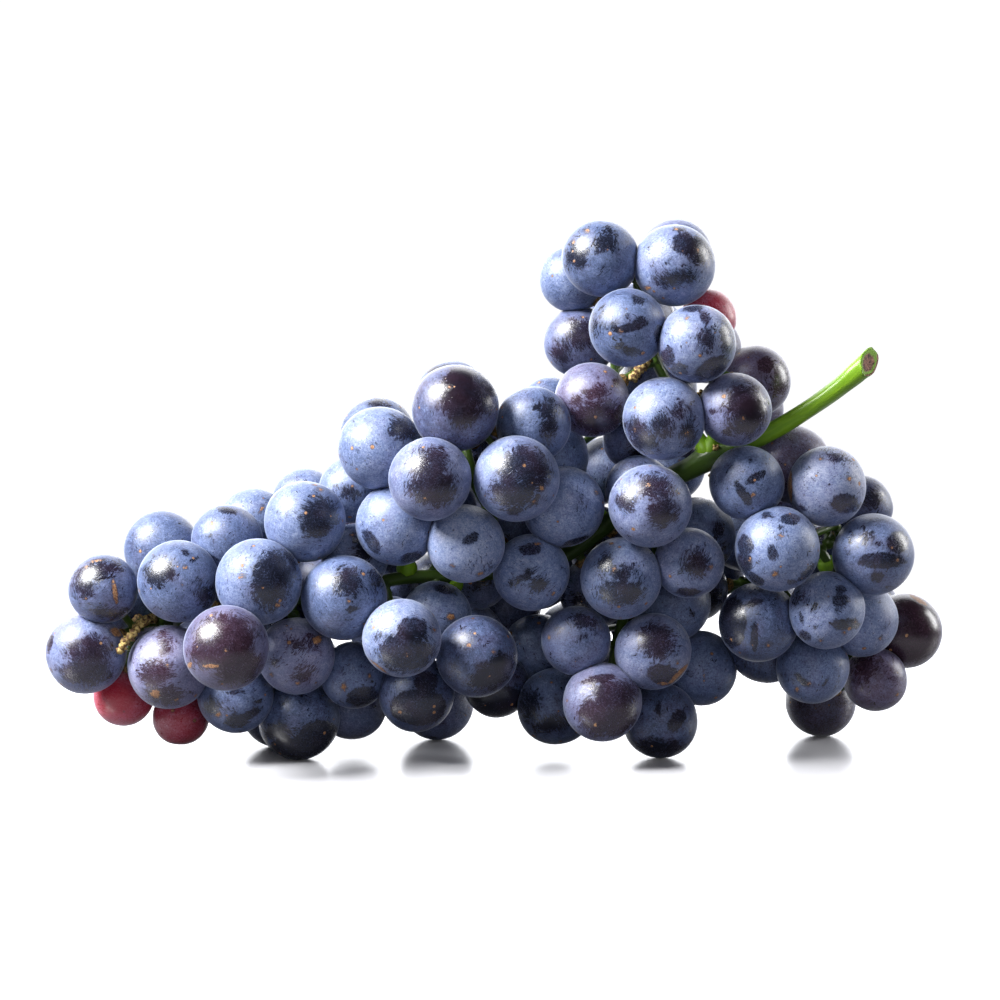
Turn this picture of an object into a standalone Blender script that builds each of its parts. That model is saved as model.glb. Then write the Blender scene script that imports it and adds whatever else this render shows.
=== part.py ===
"""A bunch of dark blue grapes lying on its side, in metres, +Z up.

X runs along the bunch, from the tip (-X) to the cut end of the stem (+X). -Y is the front of
the bunch and +Y its back. The lowest berries rest on Z = 0.

The berries that shape the bunch are placed one by one, in millimetres. Berries behind them are
dropped into the bunch from the back, then all of them are pressed together as soft balls until
no two overlap. The stem is one grown piece: a main stalk, its side stalks, and a short stalk to
each berry that can be reached through the gaps. Touching berries are joined, up to MOST_JOINED
in one solid.
"""
import math
import random

import bmesh
import bpy
import numpy as np
from mathutils import Vector

MM = 0.001
OBJECT_NAME = "grape_bunch"

# ---- driving dimensions, millimetres ------------------------------------------------------
CENTRING = (0.0, -4.6, 0.0)     # moves the layout so that the origin is under its middle
BACK_DEPTH = 40.0               # furthest back that the centre of a berry may lie
BACK_ROUNDING = 0.34            # how fast the outline draws in towards the back
BACK_START = 8.0                # depth from which it draws in
BACK_PITCH = 2.5                # spacing of the spots where one may be dropped in
BACK_DIAMETERS = (15.6, 18.0)
VIEW_DISTANCE = 750.0           # the back is kept hidden from this far in front ...
VIEW_RISE = 0.087               # ... and from this slope above the ground
JOIN_DEPTH = 1.3                # joined berries sink this far into each other
LOOSE_GAP = 0.12                # berries that aren't joined stay this far apart
STALK_GAP = 0.55                # between a stalk and the skin of a berry
BERRY_NODES = 59                # nodes left for berries, beside the one of the stem
MOST_JOINED = 4
JOIN_REACH = 3.0                # berries further apart than this are never joined
PRESS_SHARE = 0.36              # share of an overlap taken up by each berry in a round of pressing
STALK_PRESS_SHARE = 0.3         # and where a berry meets a stalk
HOME_PULL = 0.04                # how much a firm berry is drawn back to its place in each round
FIRMNESS = (0.35, 0.9, 0.35)    # how freely the placed berries move along X, Y and Z
LOOSE_ROUNDS = 250              # rounds of pressing before berries are joined ...
JOINED_ROUNDS = 900             # ... and after
ON_FLOOR = 0.3                  # a berry this near the ground rests on it ...
OFF_FLOOR = 0.4                 # ... and the others stay this far above it
STALK_TRIM = 0.8                # share of STALK_GAP kept when a berry is trimmed at a stalk
PEDICEL_RADIUS = 0.85
PEDICEL_LONGEST = 26.0
STALK_STEP = 2.0                # spacing of the points that a berry stalk may leave from
BARE_STALK = 52.0               # the main stalk bears no berries beyond this X and above
BARE_HEIGHT = 62.0              # this Z
STEM_VOXEL = 0.42
MAIN_SIDES = 12                 # corners round the main stalk,
SIDE_SIDES = 10                 # round the side stalks
PEDICEL_SIDES = 8               # and round the stalks of the berries
STEM_TRIANGLES = 4600
SEED = 7

# ---- berries placed by hand: (x, y, z, diameter), millimetres -------------------------------
BERRIES = {
    "tip": [
        (-58, -28, 28.5, 18), (-51, -19, 41.5, 18.5), (-44.5, -14, 24.5, 16.5), (-72.5, -13, 22, 18),
        (-69.5, -16, 41, 17.5), (-86, -13, 39.5, 15), (-90.5, -8, 24, 17.5), (-58, -9, 15, 16.5),
        (-44, 0, 9, 18), (-50.5, 16, 8, 16), (-32, -6, 19.5, 14.5), (-33, 12, 10.5, 15.5),
        (-34, -16, 38, 18.5), (-42, -13, 53.5, 17.5), (-59.5, -8, 49, 15.5), (-74.5, -1, 46.5, 16.5),
        (-55, 7, 51.5, 15.5), (-43.5, 15, 56, 14.5),
    ],
    "middle": [
        (-22.5, -14, 52, 17.5), (-26, -15, 71, 18), (-9.5, -20, 79, 18.5), (-15, -28, 64, 17.5),
        (3.5, -28, 64, 18), (7, -15, 75, 16), (-7, -21, 49.5, 16.5), (6.5, -13, 42, 16.5),
        (14, -14, 57.5, 17.5), (11, 0, 67, 16.5), (-32.5, -3, 59.5, 14.5), (-31.5, -2, 44, 14.5),
        (-5, 5, 39, 14.5), (-14, -4, 32, 15.5),
    ],
    "lower": [
        (-21, -25, 30, 16.5), (-5, -16, 24.5, 17.5), (-18, -9, 15.5, 16.5), (-14.5, 26, 8.25, 16.5),
        (-1, 8, 15, 14.5), (9, 15, 22, 16),
    ],
    "shoulder": [
        (34.5, -23, 76.5, 17.5), (42, -25, 92.5, 16.5), (27, -20, 96, 16.5), (38, -15, 109, 17.5),
        (21, -12, 110.5, 16.5), (16, 3, 105.5, 14.5), (17.5, 3, 92, 15.5), (20, -8, 80, 16),
        (11, 12, 77.5, 12.5), (46, 9, 90, 15), (50.5, -21, 78.5, 15.5), (55.5, -5, 83.5, 15.5),
        (52, 9, 75, 14.5), (57, 22, 76, 14), (29, 4, 71, 13), (23.5, 12, 62.5, 14.5),
    ],
    "front": [
        (32, -20, 58, 17.5), (25.5, -17, 41.5, 17.5), (41.5, -13, 45, 15), (43.5, 3, 49, 17),
        (30.5, -4, 60, 14.5), (16.5, -10, 27.5, 15), (33.5, -11, 25.5, 16.5), (38, 6, 34, 17.5),
        (44.5, 18, 35.5, 14), (22, -14, 14, 17), (12.5, 5, 11, 17), (35.5, 0, 8.25, 16.5),
        (44, 10, 18.5, 16.5),
    ],
    "wing": [
        (53, -16, 62.5, 16), (70.5, -18, 61.5, 17), (64, -1, 65.5, 17), (79.5, 1, 55.5, 14),
        (81, -13, 47, 17.5), (59.5, -22, 48.5, 18), (70.5, -18, 34.5, 16.5), (79.5, -2, 31.5, 16.5),
        (91, 12, 27, 16.5), (56, -10, 31.5, 17), (60, 7, 24.5, 17), (68.5, -6, 20.5, 16),
        (83.5, 4, 16.5, 14), (74, 33, 8, 16), (70, 23, 20.5, 16), (62, 28, 30, 16.5), (83, 25, 30, 15.5),
    ],
    "unripe": [(-83.5, 3, 13.5, 13.5), (-71, 4, 8.5, 12.5), (45.5, -4, 97.5, 12)],
}
# Gaps that the light comes through, kept clear of the berries behind: (x, z, radius).
WINDOWS = [
    (45, 82, 2.5), (46, 70, 4.0), (45, 59, 2.5), (23, 70, 1.5), (-37, 28, 1.5), (-18, 44, 1.5), (7, 18, 1.5),
]

# ---- stalks: points (x, y, z) and the radius at each end, millimetres -------------------------
MAIN_STALK = [
    (80, -12, 88.5), (77, -12, 86), (73, -11, 82.5), (67, -10, 78), (61, -8, 74), (56, -7, 71.5),
    (51, -5, 69), (46, -4, 67), (41, -2, 64), (35, 0, 61), (29, 2, 56.5), (23, 4, 51), (17, 6, 46),
    (9, 6, 42), (0, 4, 41),
    (-10, 3, 40), (-20, 2, 40), (-31, 1, 38), (-42, 0, 35.5), (-53, 0, 33.5), (-63, -1, 32.5), (-73, -2, 31),
    (-81, -3, 29.5),
]
MAIN_RADII = [
    2.5, 2.3, 2.0, 1.9, 2.0, 2.2, 2.7,
    2.9, 2.4, 2.1, 2.0, 1.9, 1.8, 1.7, 1.6,
    1.5, 1.5, 1.4, 1.3, 1.2, 1.1, 1.0,
    0.9,
]
SIDE_STALKS = {
    "shoulder": [(46, -4, 67), (42.5, -4, 73), (38, -4, 81), (34, -4, 88), (31, -4, 97), (30, -4, 106)],
    "beside": [(46, -4, 67), (47, -6, 74), (48, -8, 81), (49, -8, 86)],
    "wing": [(51, -5, 69), (53, -2, 60), (58, 0, 54), (66, 0, 50), (72, 1, 44), (73, 3, 38)],
    "wing_low": [(72, 1, 44), (75, 7, 34), (76, 11, 24), (77, 16, 18), (78, 22, 12.5)],
    "front": [(29, 2, 56.5), (31, -1, 50), (31, -1, 41), (27, -3, 31), (25, -2, 22), (25, 1, 15)],
    "upper": [(23, 4, 51), (20, 8, 57), (16, 14, 65), (13, 16, 73)],
    "crown": [(0, 4, 41), (-1, -2, 48), (-2, -8, 55), (-5, -10, 61), (-7, -8, 68), (-8, -5, 73)],
    "left": [(-20, 2, 40), (-22, 4, 47), (-25, 4, 56), (-27, 6, 63)],
    "low": [(-10, 3, 40), (-11, 8, 32), (-10, 8, 23), (-11, 12, 16)],
    "tip_low": [(-42, 0, 35.5), (-40, 4, 28), (-38, 6, 20)],
    "tip_high": [(-53, 0, 33.5), (-54, 3, 39), (-55, 5, 43)],
}
SIDE_RADII = (1.4, 0.95)        # where it leaves the main stalk, and at its end


# ---- layout of the berries --------------------------------------------------------------------
def skeleton_points():
    """Points along every stalk at STALK_STEP, with the radius of the stalk there."""
    points = []
    radii = []
    routes = [(MAIN_STALK, MAIN_RADII)]
    for route in SIDE_STALKS.values():
        routes.append((route, np.linspace(SIDE_RADII[0], SIDE_RADII[1], len(route))))
    for route, widths in routes:
        for (a, b), (ra, rb) in zip(zip(route, route[1:]), zip(widths, widths[1:])):
            a = np.array(a, float)
            b = np.array(b, float)
            steps = max(1, round(np.linalg.norm(b - a) / STALK_STEP))
            for t in np.arange(steps) / steps:
                points.append(a + (b - a) * t)
                radii.append(ra + (rb - ra) * t)
    return np.array(points), np.array(radii)


def front_view(point):
    """Where a point shows in a view of the front, as (across, up) and the scale there."""
    x, y, z = point
    scale = VIEW_DISTANCE / (VIEW_DISTANCE + y)
    return x * scale, z * scale + y * VIEW_RISE, scale


class Outline:
    """The outline of the berries placed so far, seen from the front, on a 1 mm grid."""

    LOW = (-110, -10)
    HIGH = (110, 130)

    def __init__(self, centres, radii):
        across = np.arange(self.LOW[0], self.HIGH[0])
        up = np.arange(self.LOW[1], self.HIGH[1])
        grid_x, grid_z = np.meshgrid(across, up, indexing="ij")
        inside = np.zeros(grid_x.shape, bool)
        for centre, radius in zip(centres, radii):
            cx, cz, scale = front_view(centre)
            inside |= (grid_x - cx) ** 2 + (grid_z - cz) ** 2 < (radius * scale) ** 2
        outside = np.zeros(grid_x.shape, bool)
        outside[0, :] = True
        while True:
            grown = outside.copy()
            for axis in (0, 1):
                for step in (-1, 1):
                    grown |= np.roll(outside, step, axis)
            grown &= ~inside
            if (grown == outside).all():
                break
            outside = grown
        self.outside = np.column_stack([grid_x[outside], grid_z[outside]])

    def room(self, across, up):
        """Distance from a point of the view to the nearest place outside the outline."""
        return np.hypot(self.outside[:, 0] - across, self.outside[:, 1] - up).min()


def resting_depths(spots, centres, radii):
    """Depth at which a berry dropped in from the back at each (x, z, radius) comes to rest."""
    reach = spots[:, 2, None] + radii
    beside = np.hypot(centres[:, 0] - spots[:, 0, None], centres[:, 2] - spots[:, 1, None])
    depths = centres[:, 1] + np.sqrt(np.maximum(reach ** 2 - beside ** 2, 0.0))
    return np.where(beside < reach, depths, -math.inf).max(axis=1)


def drop_in_back_berries(centres, radii, rng):
    """Berries behind the placed ones, the deepest hollow first, in an outline that rounds off."""
    outline = Outline(centres, radii)
    spots = []
    for x in np.arange(-92, 94, BACK_PITCH):
        for z in np.arange(8, 114, BACK_PITCH):
            radius = rng.uniform(*BACK_DIAMETERS) / 2
            z_free = z + rng.uniform(-1, 1) * BACK_PITCH / 2
            spots.append((x + rng.uniform(-1, 1) * BACK_PITCH / 2, max(z_free, radius), radius))
    spots = np.array(spots)
    stalks, stalk_radii = skeleton_points()
    depths = resting_depths(spots, np.vstack([centres, stalks]), np.concatenate([radii, stalk_radii]))
    depths[depths == -math.inf] = math.inf
    added = []
    while depths.min() < BACK_DEPTH:
        pick = depths.argmin()
        x, z, radius = spots[pick]
        y = depths[pick]
        across, up, scale = front_view((x, y, z))
        inset = radius * scale + max(0.0, y - BACK_START) * BACK_ROUNDING
        at_window = any(math.hypot(across - wx, up - wz) < radius + wr for wx, wz, wr in WINDOWS)
        if at_window or outline.room(across, up) < inset:
            depths[pick] = math.inf
            continue
        added.append((x, y, z, radius))
        depths = np.maximum(depths, resting_depths(spots, np.array([(x, y, z)]), np.array([radius])))
    return added


def push_apart(centres, radii, targets, firmness, rounds):
    """Moves the berries until each pair keeps its target distance: all of them at once, softly."""
    home = centres.copy()
    stalks, stalk_radii = skeleton_points()
    on_floor = centres[:, 2] - radii < ON_FLOOR
    joined = targets < radii[:, None] + radii[None, :]
    for _ in range(rounds):
        gaps = centres[:, None, :] - centres[None, :, :]
        distances = np.linalg.norm(gaps, axis=2) + np.eye(len(centres))
        short = targets - distances
        np.fill_diagonal(short, 0.0)
        short = np.where(joined, short, np.maximum(short, 0.0))
        push = (gaps / distances[:, :, None] * short[:, :, None] * PRESS_SHARE).sum(axis=1)
        gaps = centres[:, None, :] - stalks[None, :, :]
        distances = np.linalg.norm(gaps, axis=2)
        short = np.maximum(radii[:, None] + stalk_radii[None, :] + STALK_GAP - distances, 0.0)
        push += (gaps / distances[:, :, None] * short[:, :, None] * STALK_PRESS_SHARE).sum(axis=1)
        centres = centres + push * firmness + (home - centres) * (1 - firmness) * HOME_PULL
        centres[:, 2] = np.where(on_floor, radii, np.maximum(centres[:, 2], radii + OFF_FLOOR))
    return centres


def choose_joined(centres, radii, unripe):
    """Which touching berries are joined: the closest pairs first, until the nodes suffice."""
    group = list(range(len(radii)))
    size = [1] * len(radii)
    pairs = []
    for i in range(len(radii)):
        for j in range(i + 1, len(radii)):
            gap = np.linalg.norm(centres[i] - centres[j]) - radii[i] - radii[j]
            if gap < JOIN_REACH and not unripe[i] and not unripe[j]:
                pairs.append((gap, i, j))
    links = []
    for most in range(2, MOST_JOINED + 1):
        for _gap, i, j in sorted(pairs):
            a, b = group[i], group[j]
            if a == b or size[a] + size[b] > most or len(radii) - len(links) <= BERRY_NODES:
                continue
            links.append((i, j))
            group = [a if g == b else g for g in group]
            size[a] += size[b]
    return group, links


def lay_out_berries():
    """Every berry as (region, centre, radius, group), settled so that no two overlap."""
    regions = [name for name, rows in BERRIES.items() for _ in rows]
    rows = np.array([row for group in BERRIES.values() for row in group], float)
    centres, radii = rows[:, :3], rows[:, 3] / 2
    placed = len(radii)
    for x, y, z, radius in drop_in_back_berries(centres, radii, random.Random(SEED)):
        regions.append("back")
        centres = np.vstack([centres, (x, y, z)])
        radii = np.append(radii, radius)
    firmness = np.ones((len(radii), 3))
    firmness[:placed] = FIRMNESS
    targets = radii[:, None] + radii[None, :] + LOOSE_GAP
    centres = push_apart(centres, radii, targets, firmness, LOOSE_ROUNDS)
    group, links = choose_joined(centres, radii, [name == "unripe" for name in regions])
    for i, j in links:
        targets[i, j] = targets[j, i] = radii[i] + radii[j] - JOIN_DEPTH
    centres = push_apart(centres, radii, targets, firmness, JOINED_ROUNDS)
    radii = trim_overlaps(centres, radii, links)
    return regions, centres, radii, group, links


def trim_overlaps(centres, radii, links):
    """Takes off the berries what the pressing left over, so that nothing loose meets."""
    stalks, stalk_radii = skeleton_points()
    to_stalks = np.linalg.norm(centres[:, None, :] - stalks[None, :, :], axis=2) - stalk_radii
    radii = np.minimum(radii, to_stalks.min(axis=1) - STALK_GAP * STALK_TRIM)
    for _ in range(3):
        for i in range(len(radii)):
            for j in range(i + 1, len(radii)):
                if (i, j) in links:
                    continue
                over = radii[i] + radii[j] + LOOSE_GAP / 2 - np.linalg.norm(centres[i] - centres[j])
                if over > 0:
                    radii[i] -= over / 2
                    radii[j] -= over / 2
    return radii


# ---- stalks to the berries ----------------------------------------------------------------------
def is_clear(start, end, centres, radii, skip):
    """Whether a stalk between two points clears every berry but one."""
    along = end - start
    length = np.dot(along, along)
    t = np.clip(((centres - start) @ along) / length, 0.0, 1.0)
    distances = np.linalg.norm(centres - (start + t[:, None] * along), axis=1)
    room = distances - radii - PEDICEL_RADIUS - STALK_GAP
    room[skip] = 1.0
    return (room > 0).all()


def grow_pedicels(centres, radii):
    """A short stalk to each berry, the shortest first; later ones may leave from earlier ones."""
    tree = [point for point in skeleton_points()[0] if point[0] < BARE_STALK or point[2] < BARE_HEIGHT]
    waiting = set(range(len(radii)))
    best = {}

    def consider(points):
        for i in waiting:
            for start in points:
                away = start - centres[i]
                distance = np.linalg.norm(away)
                length = distance - radii[i]
                if not 1.0 < length < PEDICEL_LONGEST or (i in best and best[i][0] <= length):
                    continue
                end = centres[i] + away / distance * (radii[i] + STALK_GAP)
                if is_clear(start, end, centres, radii, i):
                    best[i] = (length, start, end)

    consider(tree)
    pedicels = []
    while True:
        ready = [(best[i][0], i) for i in waiting if i in best]
        if not ready:
            break
        _length, i = min(ready)
        waiting.discard(i)
        length, start, end = best[i]
        pedicels.append((start, end))
        count = int(length / STALK_STEP)
        consider([start + (end - start) * k / (count + 1) for k in range(1, count)])
    return pedicels, waiting


# ---- solids ------------------------------------------------------------------------------------
def new_collection(name, parent):
    collection = bpy.data.collections.new(name)
    parent.children.link(collection)
    return collection


def new_material(name, colour, roughness):
    material = bpy.data.materials.new(name)
    material.use_nodes = True
    shader = material.node_tree.nodes["Principled BSDF"]
    shader.inputs["Base Color"].default_value = (*colour, 1.0)
    shader.inputs["Roughness"].default_value = roughness
    shader.inputs["Metallic"].default_value = 0.0
    material.diffuse_color = (*colour, 1.0)
    return material


def to_metres(point):
    return Vector([(value + shift) * MM for value, shift in zip(point, CENTRING)])


def object_from(bm, name, collection, material):
    mesh = bpy.data.meshes.new(name)
    bm.to_mesh(mesh)
    bm.free()
    mesh.materials.append(material)
    mesh.polygons.foreach_set("use_smooth", [True] * len(mesh.polygons))
    obj = bpy.data.objects.new(name, mesh)
    collection.objects.link(obj)
    return obj


def berry_ball(centre, radius, towards):
    """A faceted ball whose corners lie on the berry's skin, one of them turned the given way."""
    bm = bmesh.new()
    bmesh.ops.create_icosphere(bm, subdivisions=2, radius=radius * MM)
    bm.verts.ensure_lookup_table()
    turn = bm.verts[0].co.rotation_difference(Vector(towards))
    bmesh.ops.rotate(bm, verts=bm.verts, cent=(0, 0, 0), matrix=turn.to_matrix())
    bmesh.ops.translate(bm, verts=bm.verts, vec=to_metres(centre))
    return bm


def bake(obj):
    """Replaces the mesh of an object with what its modifiers make of it."""
    graph = bpy.context.evaluated_depsgraph_get()
    mesh = bpy.data.meshes.new_from_object(obj.evaluated_get(graph))
    obj.modifiers.clear()
    obj.data = mesh
    return mesh


def join_berries(members, name, collection, material, helpers, layout):
    """One closed solid from the berries of a group, each of which touches another."""
    centres, radii, links = layout
    first = None
    for i in members:
        partners = [b if a == i else a for a, b in links if i in (a, b)]
        if centres[i][2] - radii[i] < ON_FLOOR:
            towards = (0, 0, -1)
        elif partners:
            towards = centres[partners[0]] - centres[i]
        else:
            towards = (0, 0, 1)
        ball = berry_ball(centres[i], radii[i], towards)
        if first is None:
            first = object_from(ball, name, collection, material)
            continue
        helper = object_from(ball, name + "_with", helpers, material)
        helper.hide_render = True
        helper.display_type = "WIRE"
        union = first.modifiers.new("join", "BOOLEAN")
        union.operation = "UNION"
        union.solver = "EXACT"
        union.object = helper
    if first.modifiers:
        bake(first)
    return first


def add_tube(bm, points, radii, sides):
    """A closed tube along some points, with a ring of corners at each."""
    rings = []
    for k, point in enumerate(points):
        before = points[max(k - 1, 0)]
        after = points[min(k + 1, len(points) - 1)]
        frame = (after - before).to_track_quat("Z", "Y")
        ring = []
        for side in range(sides):
            angle = 2 * math.pi * side / sides
            offset = Vector((math.cos(angle), math.sin(angle), 0.0)) * radii[k]
            ring.append(bm.verts.new(point + frame @ offset))
        rings.append(ring)
    for low, high in zip(rings, rings[1:]):
        for side in range(sides):
            after = (side + 1) % sides
            bm.faces.new((low[side], low[after], high[after], high[side]))
    bm.faces.new(rings[0][::-1])
    bm.faces.new(rings[-1])


def grow_stem(pedicels, collection, material):
    """The whole stem as one closed solid: tubes blended together, then thinned to flat faces."""
    bm = bmesh.new()
    add_tube(bm, [to_metres(p) for p in MAIN_STALK], [r * MM for r in MAIN_RADII], MAIN_SIDES)
    for route in SIDE_STALKS.values():
        radii = np.linspace(SIDE_RADII[0], SIDE_RADII[1], len(route)) * MM
        add_tube(bm, [to_metres(p) for p in route], list(radii), SIDE_SIDES)
    for start, end in pedicels:
        add_tube(bm, [to_metres(start), to_metres(end)], [PEDICEL_RADIUS * MM] * 2, PEDICEL_SIDES)
    stem = object_from(bm, "stem", collection, material)
    blend = stem.modifiers.new("blend", "REMESH")
    blend.mode = "VOXEL"
    blend.voxel_size = STEM_VOXEL * MM
    mesh = bake(stem)
    thin = stem.modifiers.new("thin", "DECIMATE")
    thin.ratio = STEM_TRIANGLES / (2 * len(mesh.polygons))
    mesh = bake(stem)
    mesh.polygons.foreach_set("use_smooth", [True] * len(mesh.polygons))
    return stem


def build():
    for obj in list(bpy.data.objects):
        bpy.data.objects.remove(obj, do_unlink=True)
    scene = bpy.context.scene
    parts = new_collection(OBJECT_NAME, scene.collection)
    helpers = new_collection("joining_helpers", scene.collection)
    grape = new_material("grape_skin", (0.06, 0.08, 0.17), 0.5)
    unripe = new_material("unripe_skin", (0.35, 0.03, 0.06), 0.35)
    green = new_material("green_stem", (0.20, 0.36, 0.05), 0.5)

    regions, centres, radii, group, links = lay_out_berries()
    pedicels, unreached = grow_pedicels(centres, radii)
    grow_stem(pedicels, parts, green)
    numbers = {}
    for root in sorted(set(group)):
        members = [i for i, g in enumerate(group) if g == root]
        region = regions[members[0]]
        numbers[region] = numbers.get(region, 0) + 1
        name = f"{region}_grapes_{numbers[region]:02d}"
        skin = unripe if region == "unripe" else grape
        join_berries(members, name, parts, skin, helpers, (centres, radii, links))
    for helper in list(helpers.objects):
        bpy.data.objects.remove(helper, do_unlink=True)
    bpy.data.collections.remove(helpers)
    print(len(radii), "berries in", len(set(group)), "nodes;", len(pedicels), "berry stalks")
    print("berries without a stalk:", len(unreached))


build()
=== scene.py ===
import math

import bmesh
import bpy
import numpy as np
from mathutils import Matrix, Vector


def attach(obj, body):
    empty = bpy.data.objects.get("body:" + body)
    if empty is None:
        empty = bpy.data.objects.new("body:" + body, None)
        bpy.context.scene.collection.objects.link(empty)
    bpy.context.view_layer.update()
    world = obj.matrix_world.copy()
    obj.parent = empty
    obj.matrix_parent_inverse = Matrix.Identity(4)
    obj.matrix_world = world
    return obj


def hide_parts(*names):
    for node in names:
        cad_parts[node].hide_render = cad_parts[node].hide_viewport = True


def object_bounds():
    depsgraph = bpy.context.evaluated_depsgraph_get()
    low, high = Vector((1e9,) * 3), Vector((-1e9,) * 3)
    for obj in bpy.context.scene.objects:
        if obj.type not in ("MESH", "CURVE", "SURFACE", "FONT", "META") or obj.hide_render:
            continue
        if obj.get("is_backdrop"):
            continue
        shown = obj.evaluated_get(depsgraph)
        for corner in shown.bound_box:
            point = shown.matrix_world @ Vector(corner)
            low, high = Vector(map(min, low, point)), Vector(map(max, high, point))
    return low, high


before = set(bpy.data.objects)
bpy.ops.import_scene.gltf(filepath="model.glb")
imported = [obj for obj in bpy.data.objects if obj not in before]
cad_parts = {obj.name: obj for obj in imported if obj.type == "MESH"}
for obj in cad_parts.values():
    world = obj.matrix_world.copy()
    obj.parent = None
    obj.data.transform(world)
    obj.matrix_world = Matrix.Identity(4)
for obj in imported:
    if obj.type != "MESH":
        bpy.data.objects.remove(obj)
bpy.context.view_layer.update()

MM = 0.001
MIDDLE = np.array((0.0, -4.6, 0.0))     # the bunch was laid out round this point, millimetres

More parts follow.
